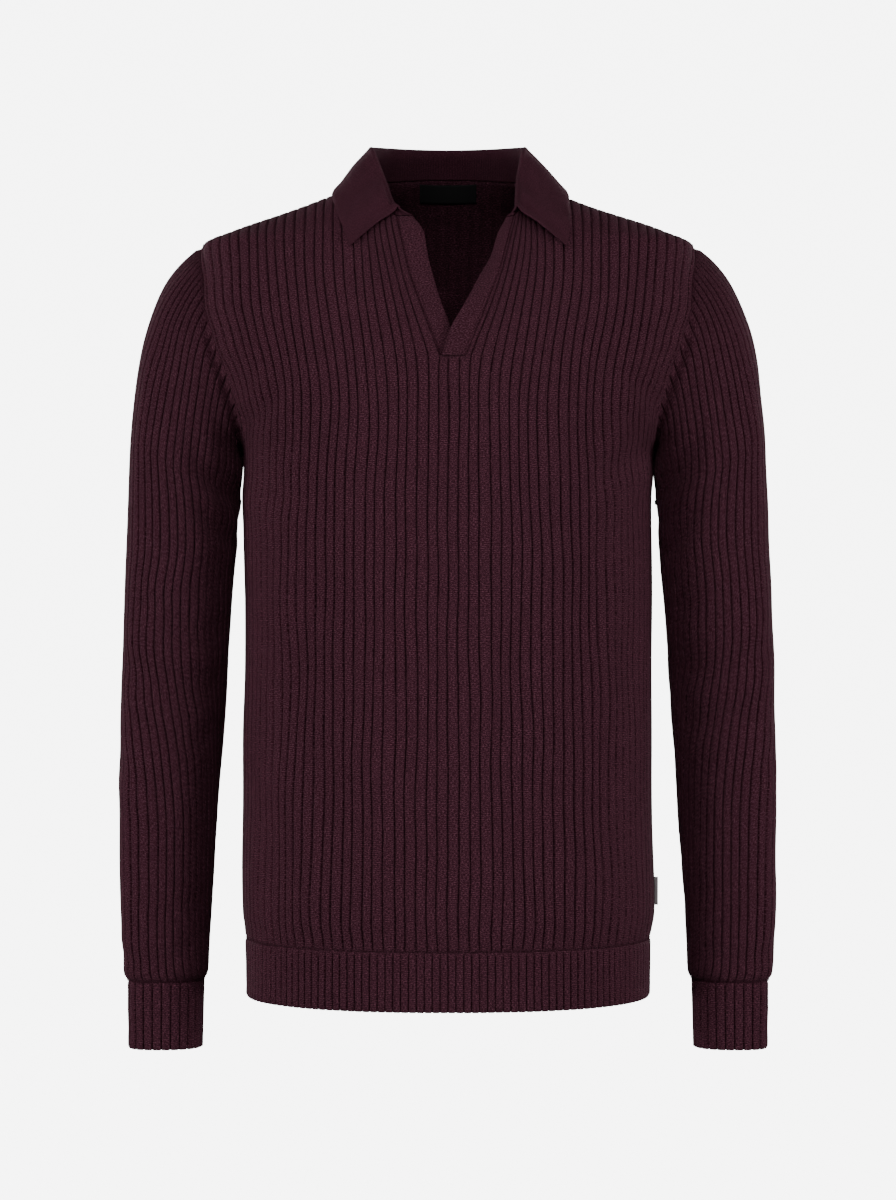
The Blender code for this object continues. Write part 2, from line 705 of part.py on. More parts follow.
def sleeve_walls(grid, outward):
    """Outer and inner points of a sleeve, its ribs sunk into the seams."""
    seam = np.zeros(grid.shape[:2], bool)
    seam[[0, -1]] = True
    seam[:, [0, -1]] = True
    crest = np.array([abs(n) % 2 for n in range(-SLEEVE_RIBS, SLEEVE_RIBS + 1)], float)[:, None]
    outer = grid - outward * (RIB_RELIEF * (1.0 - crest * ~seam))[..., None]
    depth = np.where(seam, RIB_RELIEF + EDGE_WALL, RIB_RELIEF + GROOVE_WALL)
    return outer, grid - outward * depth[..., None]


def lay_on_armhole(outer, inner, outward, hand, front_edges, back_edges):
    """Moves a sleeve's first row onto the armhole's edge, a seam gap or two away from it."""
    away = np.array([2 * SEAM_GAP, 0.0, 0.0])
    up = np.array([0.0, 0.0, 2 * SEAM_GAP])
    for i, number in enumerate(range(-SLEEVE_RIBS, SLEEVE_RIBS + 1)):
        edges = front_edges if number <= 0 else back_edges
        place = cap_share(abs(number) / SLEEVE_RIBS, 1.0)
        sewn, lining = read_pair(edges, place) * np.array([hand, 1, 1])
        under = ease((UNDERARM_EASE - sewn[2]) / UNDERARM_RUN)
        sewn = sewn + away * (1.0 + 2.0 * under) + up * under
        own = sewn - outward[i, 0] * EDGE_WALL
        outer[i, 0] = sewn
        inner[i, 0] = (lining + away) * (1.0 - under) + own * under


def part_sleeve_edges(wall, grid):
    """Moves the front and back of a sleeve's wall half a seam gap off the seam along its inner line."""
    wall[0, :, 1] += FRONT * SEAM_GAP / 2
    wall[-1, :, 1] += BACK * SEAM_GAP / 2
    for i in range(grid.shape[0]):
        if grid[i, -1, 2] > CUFF_JOIN + 1.0:
            wall[i, -1, 1] += (FRONT if i < SLEEVE_RIBS else BACK) * SEAM_GAP / 2


def make_sleeve(name, hand, front_edges, back_edges):
    """One sleeve, sewn to a tube along its inner line."""
    grid, outward = sleeve_form(hand, front_edges[0], back_edges[0])
    outer, inner = sleeve_walls(grid, outward)
    lay_on_armhole(outer, inner, outward, hand, front_edges, back_edges)
    for wall in (outer, inner):
        part_sleeve_edges(wall, grid)
        wall[..., 0] *= hand
    cells = np.ones((grid.shape[0] - 1, grid.shape[1] - 1), bool)
    kept = list(range(0, grid.shape[0], 4))
    solid(name, *ribbed_wall(outer, inner, cells, kept), RIB_KNIT)


def band_walls(grid, ribs_from):
    """Outer and inner points of a rib band whose last row is sewn and whose first row is its open edge."""
    outward = normals_of(grid)
    outward[..., 2] = 0.0
    outward = unit(outward)
    centre = grid.mean(axis=(0, 1))
    if np.sum(outward[:, 0] * (grid[:, 0] - centre)) < 0:
        outward = -outward
    crest = np.array([(n - ribs_from) % 2 for n in range(grid.shape[0])], float)[:, None]
    seam = np.zeros(grid.shape[:2], bool)
    seam[:, -1] = True
    seam[[0, -1]] = True
    outer = grid - outward * (RIB_RELIEF * (1.0 - crest * ~seam))[..., None]
    return outer, grid - outward * (RIB_RELIEF + GROOVE_WALL)


def make_hem(name, side):
    """The rib band under one panel."""
    count = HEM_RIBS * 2
    rows = []
    for z in (HEM_EDGE, HEM_JOIN - BAND_SHOULDER, HEM_JOIN - SEAM_GAP):
        line = quarter(z, side)
        places = np.abs(np.linspace(-1.0, 1.0, count + 1))
        row = read_line(line, places)
        row[:count // 2, 0] *= -1
        rows.append(row)
    grid = np.stack(rows, axis=1)
    grid[..., 1] = side * np.maximum(side * grid[..., 1], SEAM_GAP / 2)
    outer, inner = band_walls(grid, 0)
    for wall in (outer, inner):
        wall[[0, -1], :, 1] = side * SEAM_GAP / 2
    cells = np.ones((count, 2), bool)
    solid(name, *ribbed_wall(outer, inner, cells, list(range(0, count + 1, 8))), RIB_KNIT)


def make_cuff(name, hand):
    """The rib cuff of one sleeve, sewn to a tube along its inner line."""
    rows = []
    for z in (CUFF_EDGE, CUFF_JOIN - BAND_SHOULDER, CUFF_JOIN - SEAM_GAP):
        outer_x, inner_x, depth = [float(np.interp(-z, -CUFF_FORM[:, 0], CUFF_FORM[:, i])) for i in (1, 2, 3)]
        row = (outer_x, z, inner_x, z, depth, CUFF_SHIFT, 0.0)
        places = np.abs(np.linspace(-1.0, 1.0, CUFF_RIBS * 2 + 1))
        front = read_line(ellipse_half(row, FRONT), places[:CUFF_RIBS + 1])
        back = read_line(ellipse_half(row, BACK), places[CUFF_RIBS + 1:])
        rows.append(np.concatenate([front, back]))
    grid = np.stack(rows, axis=1)
    outer, inner = band_walls(grid, 0)
    for wall in (outer, inner):
        wall[0, :, 1] -= SEAM_GAP / 2
        wall[-1, :, 1] += SEAM_GAP / 2
        wall[..., 0] *= hand
    cells = np.ones((CUFF_RIBS * 2, 2), bool)
    solid(name, *ribbed_wall(outer, inner, cells, list(range(0, CUFF_RIBS * 2 + 1, 4))), RIB_KNIT)


def make_band(name, hand, slit_edge):
    """The band on one edge of the slit. The wearer's left one crosses over the right one at the foot."""
    free_column, free_depth, sewn_depth = (1, 3, 5) if hand < 0 else (2, 4, 6)
    rows = []
    for share in np.linspace(0.0, 1.0, 9):
        sewn = read_line(slit_edge, [share])[0]
        level = sewn[2] + SEAM_GAP * (1.0 - 3.0 * share)
        free_x, free_back, sewn_back = [float(smooth(level, BANDS[:, 0], BANDS[:, i]))
                                        for i in (free_column, free_depth, sewn_depth)]
        start = on_body(sewn[0] - hand * 2 * SEAM_GAP, level, FRONT) + (0.0, sewn_back, 0.0)
        free = on_body(free_x, level, FRONT) + (0.0, free_back, 0.0)
        rows.append([start + (free - start) * step for step in (0.0, 0.5, 1.0)])
    grid = np.swapaxes(np.array(rows), 0, 1)
    outward = normals_of(grid)
    outward *= -1 if outward[..., 1].mean() > 0 else 1
    outward[..., 2] = 0.0
    outward = unit(outward)
    grid += outward * np.abs(outward[..., :1]) * FINE_WALL
    solid(name, *plain_wall(grid, FINE_WALL, outward), FINE_KNIT)
    return (grid - outward * FINE_WALL / 2)[-1, -1]


def collar_section(foot, fold, edge, away):
    """The collar's face across one section: up the stand, over the fold and down the leaf."""
    up = np.array([0.0, 0.0, 1.0])
    height = max(fold[2] - foot[2], 0.1)
    radius = min(FOLD_RADIUS, 0.45 * height + 1.2)
    start = foot - away * FINE_WALL / 2
    turn_in = fold - away * radius - up * radius
    turn_out = lifted(fold + away * radius - up * radius, FINE_WALL + LEAF_CLEARANCE)
    bend = 0.7 * radius
    leaf = [turn_out + (edge - turn_out) * share + away * swell for share, swell in LEAF_SWELL]
    leaf = [lifted(point, FINE_WALL + LEAF_CLEARANCE) for point in leaf]
    return [start, (start + turn_in) / 2, turn_in, fold - away * bend - up * 0.3 * radius, fold,
            fold + away * bend - up * 0.3 * radius, turn_out, *leaf]


def collar_lines(share, hand):
    """The collar's fold and its leaf's outer edge at a share of the way from the back to the front."""
    behind = COLLAR[1] * (-1, -1, -1, 1, 1, -1, -1, 1, 1)
    table = np.vstack([behind, COLLAR])
    x_column = 1 if hand < 0 else 2
    fold, edge = ([float(smooth(share, table[:, 0], table[:, i + more])) for i in (x_column, 3, 4)]
                  for more in (0, 4))
    return np.array(fold) * (hand, 1, 1), np.array(edge) * (hand, 1, 1)


def make_collar(front_necks, back_necks, band_tops):
    """The collar, one folded piece: a stand on the neck edge and a leaf with pointed front corners."""
    sections = []
    for hand in (-1, 1):
        neck = np.concatenate([back_necks[hand], front_necks[hand][::-1]])
        half = []
        for share in list(np.linspace(0.0, NECK_END, COLLAR_STATIONS - 1)) + [1.0]:
            fold, edge = collar_lines(share, hand)
            foot = read_line(neck, [share / NECK_END])[0] if share <= NECK_END else band_tops[hand]
            foot = foot + (0.0, 0.0, FOOT_LIFT)
            away = unit((edge - foot) * (1.0, 1.0, 0.0))
            half.append(collar_section(foot, fold, edge, away))
        sections.append(np.array(half))
    grid = np.concatenate([sections[0][::-1], sections[1][1:]])
    outward = normals_of(grid)
    outward *= -1 if outward[COLLAR_STATIONS - 1, -1, 1] < 0 else 1
    outward[:, 0, 2] = 0.0
    outward = unit(outward)
    solid("collar", *plain_wall(grid, FINE_WALL, outward), FINE_KNIT)


def make_label():
    """A small woven label on the inside of the back, under the neck seam."""
    grid = np.array([[on_body(x, z, BACK) - (0.0, LABEL_LIFT, 0.0)
                      for z in np.linspace(LABEL_TOP - LABEL_HEIGHT, LABEL_TOP, 3)]
                     for x in np.linspace(-LABEL_WIDTH / 2, LABEL_WIDTH / 2, 9)])
    outward = np.zeros_like(grid)
    outward[..., 1] = 1.0
    solid("neck_label", *plain_wall(grid, LABEL_THICK, outward), LABEL_CLOTH)


def make_tab():
    """A folded tab that stands out of the wearer's left side seam."""
    low = TAB_TOP - TAB_HEIGHT
    start = body_section((TAB_TOP + low) / 2, FRONT)[0] - RIB_RELIEF + 2 * SEAM_GAP
    grid = np.array([[(start + TAB_REACH * share, TAB_THICK / 2, z) for z in (low, TAB_TOP)]
                     for share in (0.0, 0.5, 1.0)])
    outward = np.zeros_like(grid)
    outward[..., 1] = 1.0
    solid("side_tab", *plain_wall(grid, TAB_THICK, outward), TAB_CLOTH)


def remove_everything():
    """Clears the scene that the script starts in."""
    for thing in list(bpy.data.objects):
        bpy.data.objects.remove(thing, do_unlink=True)


def main():
    """Makes the sweater, piece by piece."""
    remove_everything()
    front_edges, front_necks, slit_edges = make_panel("front", FRONT)
    back_edges, back_necks, _ = make_panel("back", BACK)
    for name, hand in (("right", -1), ("left", 1)):
        make_sleeve(f"sleeve_{name}", hand, front_edges[hand], back_edges[hand])
        make_cuff(f"cuff_{name}", hand)
    make_hem("hem_front", FRONT)
    make_hem("hem_back", BACK)
    band_tops = {-1: make_band("v_band_right", -1, slit_edges[-1]),
                 1: make_band("v_band_left", 1, slit_edges[1])}
    make_collar(front_necks, back_necks, band_tops)
    make_label()
    make_tab()


main()
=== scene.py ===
"""The looks of the wide-rib polo sweater: knitted ribs, creases, fine knit collar, seams, light and camera.

Sizes are in millimetres and become metres when a mesh is made. -Y is the sweater's front and +X is the
wearer's left. Each knitted wall follows the same outer form as its solid, at several points to a rib.
"""

import math

import bpy
import numpy as np
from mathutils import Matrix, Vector


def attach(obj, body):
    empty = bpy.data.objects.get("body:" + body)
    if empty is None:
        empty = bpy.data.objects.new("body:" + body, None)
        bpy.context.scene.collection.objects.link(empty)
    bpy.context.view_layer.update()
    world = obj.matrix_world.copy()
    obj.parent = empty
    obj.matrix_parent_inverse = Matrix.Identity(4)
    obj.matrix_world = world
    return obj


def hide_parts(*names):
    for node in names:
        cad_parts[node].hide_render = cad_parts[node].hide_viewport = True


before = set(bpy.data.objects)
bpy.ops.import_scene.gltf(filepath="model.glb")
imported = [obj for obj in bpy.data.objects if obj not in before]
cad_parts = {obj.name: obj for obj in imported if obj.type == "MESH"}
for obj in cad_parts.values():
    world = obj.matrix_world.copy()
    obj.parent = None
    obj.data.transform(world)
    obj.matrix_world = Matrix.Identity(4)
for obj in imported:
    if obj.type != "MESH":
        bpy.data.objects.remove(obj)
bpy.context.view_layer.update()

MM = 0.001
FRONT = -1
BACK = 1
SIDES = {"right": -1, "left": 1}      # the wearer's
CLOSE = 0.01
FAR = 99.0
# Where each uneven field starts to draw from
SEEDS = {"pitch": 20, "waver": 140, "panel": 11, "panel_groove": 31, "sleeve_pitch": 50, "sleeve": 70,
         "sleeve_groove": 90, "band": 7, "collar": 5, "stitches": 4}

# Knit
WALL = 3.0
FINE_WALL = 2.0
SEAM_GAP = 0.06
SEAM_SINK = 1.5           # how far a seam lies under the ribs
RIB_RELIEF = 1.9          # from the bottom of a groove up to a rib
HEM_RELIEF = 1.7
CUFF_RELIEF = 1.8
BAND_GROOVE_SHADE = 0.85        # painted shade in the grooves of hems and cuffs
INSIDE_SHADE = 0.68       # groove mask on a wall's inside, which light hardly reaches
STAND_SHADE = 0.68        # painted shade on the collar's stand
PANEL_QUARTER = 237.0     # half of one panel, round the body
PANEL_RIBS = 56           # half ribs across half a panel
HALF_RIB = PANEL_QUARTER / PANEL_RIBS
HEM_RIBS = 76
SLEEVE_RIB = 7.4
SLEEVE_RIBS = 46
SLEEVE_GIRTH = SLEEVE_RIBS / 2 * SLEEVE_RIB
CUFF_RIBS = 24
CUFF_PITCH = 7.0
UNEVEN_PITCH = 0.08       # how far a groove lies aside, as a share of a rib
WAVER = 0.7               # how far rib lines waver
STRAIGHT_REACH = 34.0     # rib lines are drawn straighter over this length
STRAIGHT_STEP = 3.0
LINING_SWELL = 0.4        # the inside of a wall follows its ribs a little
END_FADE = 4.5            # grooves flatten over these lengths: towards a seam across the ribs,
SIDE_FADE = 3.5           # towards one along the ribs,
SLIT_FADE = 2.5           # towards the slit
ARMHOLE_FADE = 4.0        # and from a sleeve's armhole on
FADE_LEAD = 0.3
CORNER_DROP = 1.6         # how far a panel falls off at the outer end of the shoulder
SHOULDER_FADE = 38.0      # ribs flatten over this length towards the shoulder seam
FRONT_FOLD = 4.0          # depth of the fold beside the front of the armhole
# Place across one rib from a groove's middle, height.
PROFILE = ((0.0, 0.0), (0.055, 0.30), (0.11, 0.86), (0.22, 0.98), (0.5, 1.0), (0.78, 0.98), (0.89, 0.86),
           (0.945, 0.30))

# Heights
HEM_EDGE = -683.0
HEM_JOIN = -634.0
UNDERARM = -220.0
SLIT_FOOT = -146.0
CHEST = -128.0
SHOULDER_POINT = -43.0
CUFF_JOIN = -668.0
CUFF_EDGE = -726.0

# Rows of points
LOW_LEVELS = np.concatenate([np.arange(HEM_JOIN, CHEST - 0.1, 3.0), [CHEST]])
LOW_ROWS = 112
YOKE_ROWS = 42
CAP_ROWS = 38
ARM_ROWS = 100
RING_POINTS = 161
EDGE_STEPS = (0.0, 0.6, 1.8, 4.0, 9.0, 16.0)     # a band's rows above its open edge
SEAM_STEPS = (9.0, 4.5, 2.4, 1.0, 0.0)           # and under its seam

# Shoulders and neck
SHOULDER_X = 213.0
NECK_X = 74.0
NECK_Z = 14.0
BACK_NECK_Z = 25.0
SLIT_TOP_Z = -26.0
NECK_RIB = 62.0
ACROSS_RIB = 207.4
SLIT_RIBS = {-1: 2, 1: 3}

# The body's outer form: level, half width, depth to the front, depth to the back, squareness.
BODY_FORM = np.array([
    (-683, 173.0, 130, 121, 2.30),
    (-634, 173.5, 129, 121, 2.30),
    (-612, 176.0, 132, 124, 2.30),
    (-560, 175.5, 131, 122, 2.30),
    (-450, 174.5, 127, 118, 2.30),
    (-340, 174.2, 124, 115, 2.30),
    (-250, 174.6, 124, 117, 2.30),
    (-220, 176.2, 123, 119, 2.35),
    (-196, 186.5, 122, 120, 2.40),
    (-158, 205.0, 118, 120, 2.40),
    (-128, 219.0, 113, 118, 2.40),
    (-103, 220.0, 106, 115, 2.35),
    (-75, 217.0, 96, 111, 2.25),
    (-43, 213.0, 84, 104, 2.05),
    (-32, 188.0, 80, 101, 1.95),
    (-17, 146.0, 74, 97, 1.90),
    (-7, 117.0, 70, 93, 1.90),
    (6, 84.0, 64, 88, 1.90),
    (14, 74.0, 60, 85, 1.90),
    (25, 66.0, 56, 80, 1.90),
])

# The armhole: level, distance in front of and behind the side line, place across the panel.
ARMHOLE = np.array([
    (-220, 0, 0, 237.0),
    (-214, 25, 24, 230.0),
    (-205, 40, 38, 224.0),
    (-196, 50, 47, 219.0),
    (-175, 59, 55, 212.0),
    (-146, 63, 58, 207.4),
    (-128, 61, 57, 207.4),
    (-103, 48, 48, 207.4),
    (-75, 33, 35, 207.4),
    (-56, 17, 19, 207.4),
    (-43, 0, 0, 207.4),
])

# The slit's edges in the front panel: level, distance to the wearer's right and to the left.
SLIT = np.array([
    (-146, 7.0, 14.5),
    (-108, 21.4, 30.0),
    (-76, 32.3, 41.6),
    (-36, 41.6, 52.5),
    (-26, 43.6, 55.2),
])

# A sleeve: outer line x, z; inner line x, z; half depth; shift to the front; share of the armhole's shape.
SLEEVE_FORM = np.array([
    (213.0, -43, 176.6, -220, 58, 0.0, 1.00),
    (229.0, -57, 177.4, -222, 57, 0.0, 0.80),
    (243.0, -75, 177.4, -224, 56, 0.5, 0.58),
    (253.5, -98, 177.4, -227, 55, 1.0, 0.36),
    (261.5, -127, 177.3, -232, 54, 1.5, 0.18),
    (267.0, -163, 177.6, -241, 53, 2.0, 0.06),
    (271.0, -218, 179.0, -257, 52, 3.0, 0.00),
    (273.8, -285, 180.2, -290, 50, 4.5, 0.00),
    (276.3, -347, 184.6, -347, 47, 6.0, 0.00),
    (279.6, -450, 191.5, -450, 42, 9.0, 0.00),
    (279.4, -552, 198.0, -552, 36, 15.0, 0.00),
    (277.0, -630, 202.3, -630, 31, 20.0, 0.00),
    (275.6, -660, 203.4, -660, 29.5, 22.0, 0.00),
    (273.5, -668, 205.5, -668, 28, 22.5, 0.00),
])
UPPER_ARM_ROW = 6
SLEEVE_SQUARENESS = 2.9
INNER_SQUARENESS = 2.05   # on the side towards the body
# Where ribs meet the armhole: share of the way round the sleeve, share of the way down the armhole.
CAP_SHARES = ((0.0, 0.0), (0.1, 0.035), (0.2, 0.08), (0.3, 0.14), (0.4, 0.22), (0.5, 0.33), (0.6, 0.455),
              (0.7, 0.58), (0.8, 0.70), (0.9, 0.83), (1.0, 1.0))

# A cuff: level, outer x, inner x, half depth.
CUFF_FORM = np.array([
    (-668, 272.0, 207.0, 26),
    (-726, 271.5, 208.5, 25),
])
CUFF_SHIFT = 22.5

# The opening bands: level, free edge's x on the wearer's right and left band, and how far behind the
# body's outer form the free edge (right, left) and the sewn edge (right, left) lie.
BANDS = np.array([
    (-145.7, 8.0, -5.0, 4.2, -0.6, 2.4, 0.6),
    (-123, 2.5, 2.5, 4.2, -0.6, 2.2, 0.7),
    (-100, -6.0, 15.0, 3.6, 1.0, 1.8, 0.9),
    (-80, -12.0, 25.0, 2.8, 9.0, 1.6, 1.2),
    (-58, -17.2, 37.0, 2.4, 15.5, 1.5, 1.4),
    (-41, -20.0, 42.0, 2.4, 14.0, 1.5, 1.4),
    (-26, -30.0, 50.0, 2.4, 11.0, 1.5, 1.4),
])
BAND_WIDTH = 19.0
BAND_ROWS = 76
BAND_ACROSS = np.array((0.0, 0.04, 0.10, 0.22, 0.38, 0.55, 0.72, 0.86, 0.94, 1.0))

# The collar, from the middle of the back to its front edge: station, fold (x to the wearer's right, x to
# the left, y, z), outer edge of the leaf (the same four).
COLLAR = np.array([
    (0.00, 0, 0, 83, 52.0, 0, 0, 97, 3),
    (0.22, 44, 44, 65, 50.6, 61, 61, 70.5, 3),
    (0.45, 66, 66, 14, 44.2, 97, 97, 12, 3.5),
    (0.62, 64.5, 64.5, -18, 38.5, 96, 101, -38, -8),
    (0.82, 53, 59, -50, 6.0, 88, 101, -74, -32),
    (0.95, 46.0, 58, -69.0, -14, 81, 98, -86.0, -49.5),
    (1.00, 41.5, 58, -76.5, -18, 80, 97, -87.5, -53),
])
NECK_END = 0.95
COLLAR_LIFT = 0.7
FOLD_RADIUS = 2.6
LEAF_CLEARANCE = 0.9
LEAF_SWELL = ((0.33, 2.2), (0.66, 2.6), (1.0, 1.6))   # share of the way down the leaf, swell
STAND_SAMPLES = np.array((0.0, 0.05, 0.12, 0.25, 0.4, 0.55, 0.7, 0.85, 1.0))
LEAF_SAMPLES = np.array((0.03, 0.07, 0.14, 0.22, 0.31, 0.40, 0.50, 0.60, 0.70, 0.79, 0.87, 0.93, 0.965,
                         0.985, 1.0))

# Label and tab
LABEL_WIDTH = 50.0
LABEL_TOP = 20.0
LABEL_HEIGHT = 15.5
LABEL_THICK = 0.8
LABEL_LIFT = 4.7
TAB_TOP = -584.0
TAB_HEIGHT = 24.0
TAB_REACH = 5.2
TAB_HALF = 0.7

# Creases on the panels: x and z where one starts and ends, width, depth.
PANEL_CREASES = {
    FRONT: (
        (-170, -226, -118, -268, 13, 2.0),
        (-176, -203, -140, -172, 9, 2.0),
        (168, -223, 126, -256, 11, 2.6),
        (178, -198, 148, -158, 8, 1.7),
        (-12, -152, -64, -246, 17, 1.5),
        (16, -150, 70, -230, 15, 1.2),
        (-98, -330, -82, -565, 22, 1.8),
        (66, -372, 90, -600, 24, 2.0),
        (6, -430, 2, -600, 18, 1.3),
        (132, -300, 120, -470, 16, 1.3),
        (-140, -430, -133, -610, 15, 1.5),
    ),
    BACK: (
        (-168, -226, -112, -276, 13, 1.8),
        (-178, -200, -136, -150, 10, 2.0),
        (170, -225, 118, -262, 12, 2.9),
        (177, -196, 142, -156, 9, 1.8),
        (-60, -60, 52, -72, 20, 1.6),
        (-84, -420, -120, -600, 22, 2.2),
        (58, -380, 96, -590, 24, 2.0),
        (-8, -470, 12, -610, 20, 1.6),
        (104, -250, 84, -400, 18, 1.3),
    ),
}
# Puckers over the hem: distance across the panel, depth.
PUCKERS = ((-205, 0.9), (-171, 1.3), (-149, 0.7), (-118, 1.2), (-83, 0.9), (-62, 1.3), (-25, 0.8), (9, 1.2),
           (37, 0.7), (74, 1.3), (96, 0.8), (133, 1.2), (160, 0.9), (190, 1.2), (214, 0.8))

# Creases on a sleeve: place round it from the outer line (minus is the front) and level, start and end,
# width, depth. One table for the wearer's right sleeve and one for the left.
SLEEVE_CREASES = {
    -1: (
        (-160, -262, -92, -214, 11, 3.0),
        (-150, -300, -98, -262, 9, 2.2),
        (-128, -372, -52, -344, 12, 2.2),
        (-122, -418, -30, -398, 13, 2.6),
        (-110, -462, -60, -458, 10, 1.8),
        (-60, -505, -12, -470, 12, 1.4),
        (-96, -602, -36, -588, 10, 1.5),
        (-84, -640, -10, -648, 9, 1.6),
        (60, -330, 132, -372, 13, 2.2),
        (40, -405, 118, -430, 14, 2.4),
        (52, -468, 104, -470, 10, 1.7),
        (110, -250, 160, -285, 11, 2.6),
        (20, -632, 84, -645, 9, 1.5),
        (-40, -120, -70, -190, 12, 1.2),
    ),
    1: (
        (-158, -258, -100, -206, 12, 2.8),
        (-152, -312, -104, -280, 9, 2.0),
        (-124, -352, -66, -330, 11, 2.0),
        (-126, -402, -36, -380, 13, 2.5),
        (-112, -446, -48, -440, 12, 2.2),
        (-70, -498, -20, -472, 10, 1.3),
        (-90, -590, -42, -580, 11, 1.3),
        (-86, -644, -18, -640, 8, 1.7),
        (52, -342, 128, -380, 12, 2.0),
        (46, -420, 112, -440, 13, 2.4),
        (66, -492, 100, -486, 10, 1.4),
        (112, -244, 158, -276, 10, 2.4),
        (26, -626, 80, -640, 9, 1.5),
        (-30, -130, -66, -204, 13, 1.1),
    ),
}
# How far the ribs drift towards a sleeve's inner line: level, on the front, on the back.
RIB_DRIFT = {
    -1: ((-230, 0, 0), (-300, 2, 2), (-345, -3, 3), (-385, -3, -4), (-430, 2, -6),
         (-480, 8, 1), (-530, 10, 4), (-580, 7, 2), (-625, 2, -2), (-668, 0, 0)),
    1: ((-230, 0, 0), (-290, 2, 3), (-335, -2, 1), (-380, -3, -5), (-420, 1, -4),
        (-470, 7, 2), (-515, 9, 5), (-565, 7, 1), (-615, 3, -3), (-668, 0, 0)),
}

STITCHES = {"Spacing": 0.0036, "Length": 0.0022, "Thickness": 0.0007, "Unevenness": 0.25}   # in metres

# Colours: a knit's own tone, its lighter and its darker fibres; a woven cloth's two threads
WINE = ((0.0490, 0.0131, 0.0232), (0.1350, 0.0460, 0.0700), (0.0150, 0.0034, 0.0066))
COLLAR_WINE = ((0.0520, 0.0134, 0.0240), (0.0850, 0.0270, 0.0430), (0.0280, 0.0062, 0.0124))
LABEL_TONES = ((0.0042, 0.0040, 0.0042), (0.0095, 0.0090, 0.0095))
TAB_TONES = ((0.30, 0.27, 0.28), (0.48, 0.44, 0.45))
SHEEN_TINT = (0.80, 0.38, 0.48)
GAP_TINT = (0.18, 0.14, 0.16)
# Painted shade in the grooves between ribs and on the collar's stand: its tint
GROOVE_SHADE_TINT = (0.05, 0.04, 0.045)
GAP_DEPTH = 0.7           # how much of its tint a gap between stitches takes
# How strongly the groove mask paints shade into the colour
GROOVE_SHADE_STRENGTH = 0.52
STITCH_DRIFT = 0.06       # how far stitches lie aside, in centimetres

# Studio, in metres: lamps with their place, size and power; the floor and the bend up into the wall
LAMPS = (
    ("left_box", (-3.1, -1.5, -0.45), 1.5, 106.0),
    ("right_box", (3.1, -1.5, -0.45), 1.5, 104.0),
    ("front_box", (-0.2, -2.8, 1.00), 1.2, 52.0),
    ("back_left_box", (2.0, 2.6, 0.6), 1.5, 60.0),
    ("back_right_box", (-2.0, 2.6, 0.6), 1.5, 60.0),
)
LAMP_TARGET = (0.0, 0.0, -0.35)
SKY = 0.15
STUDIO_GLOW = 6.6
PAPER = (0.30, 0.30, 0.30)
WHITE = (1.0, 1.0, 1.0)
FLOOR_Z = -1.3
FLOOR_RADIUS = 2.6
BEND_RADIUS = 1.5
WALL_TOP = 3.4
STUDIO_TURNS = 96
CAMERA_PLACE = (0.0, -2.5, -0.3466)
LENS = 87.42


# --- Curves and fields ----------------------------------------------------------------------------------

def smooth(x, knots, values):
    """A curve through the values that never swings past them."""
    x = np.asarray(x, float)
    step = np.diff(knots)
    slope = np.diff(values) / step
    turn = np.zeros(len(knots))
    turn[0] = slope[0]
    turn[-1] = slope[-1]
    same_way = slope[1:] * slope[:-1] > 0
    total = np.where(same_way, slope[1:] + slope[:-1], 1.0)
    turn[1:-1] = np.where(same_way, 2.0 * slope[1:] * slope[:-1] / total, 0.0)
    i = np.clip(np.searchsorted(knots, x, side="right") - 1, 0, len(step) - 1)
    t = np.clip((x - knots[i]) / step[i], 0.0, 1.0)
    rise = values[i + 1] - values[i]
    bend = (turn[i] + turn[i + 1]) * step[i] - 2.0 * rise
    lean = 3.0 * rise - (2.0 * turn[i] + turn[i + 1]) * step[i]
    return values[i] + t * (turn[i] * step[i] + t * (lean + t * bend))


def ease(t):
    """0 before 0, 1 after 1, and a soft start and stop between."""
    t = np.clip(t, 0.0, 1.0)
    return t * t * (3.0 - 2.0 * t)


def clear_of(*edges, lead=0.0):
    """0 at edges and 1 clear of them, for pairs of a distance and the length over which it rises."""
    share = 1.0
    for distance, length in edges:
        share = share * ease((distance + lead) / length)
    return share


def lengths_along(points):
    """The distance of each point from the first, along the line through them."""
    steps = np.linalg.norm(np.diff(points, axis=0), axis=1)
    return np.concatenate([[0.0], np.cumsum(steps)])


def column_lengths(grid):
    """The distance of each point from the first in its column."""
    steps = np.linalg.norm(np.diff(grid, axis=1), axis=2)
    return np.pad(np.cumsum(steps, axis=1), ((0, 0), (1, 0)))


def read_line(points, places):
    """The points at the given shares of a line's length."""
    along = lengths_along(points)
    wanted = np.asarray(places, float) * along[-1]
    return np.stack([np.interp(wanted, along, points[:, i]) for i in range(3)], axis=1)


def read_curve(points, places):
    """The same, on a smooth curve through the points."""
    along = lengths_along(points)
    keep = np.concatenate([[True], np.diff(along) > 1e-6])
    wanted = np.asarray(places, float) * along[-1]
    return np.stack([smooth(wanted, along[keep], points[keep, i]) for i in range(3)], axis=1)


def unit(vectors):
    """The same directions, one long."""
    return vectors / np.maximum(np.linalg.norm(vectors, axis=-1, keepdims=True), 1e-9)


def normals_of(grid):
    """Directions square to a grid of points, [across, along, xyz]."""
    return unit(np.cross(np.gradient(grid, axis=0), np.gradient(grid, axis=1)))


def waves(u, v, seed, shortest, longest, count=7):
    """A soft uneven field between about -1 and 1, from waves whose lengths lie between two sizes."""
    rng = np.random.default_rng(seed)
    total = np.zeros(np.broadcast(u, v).shape)
    for _ in range(count):
        length = math.exp(rng.uniform(math.log(shortest), math.log(longest)))
        angle, phase = rng.uniform(0.0, math.tau), rng.uniform(0.0, math.tau)
        turn = math.tau / length
        total = total + np.sin(u * turn * math.cos(angle) + v * turn * math.sin(angle) + phase)
    return total / math.sqrt(count)


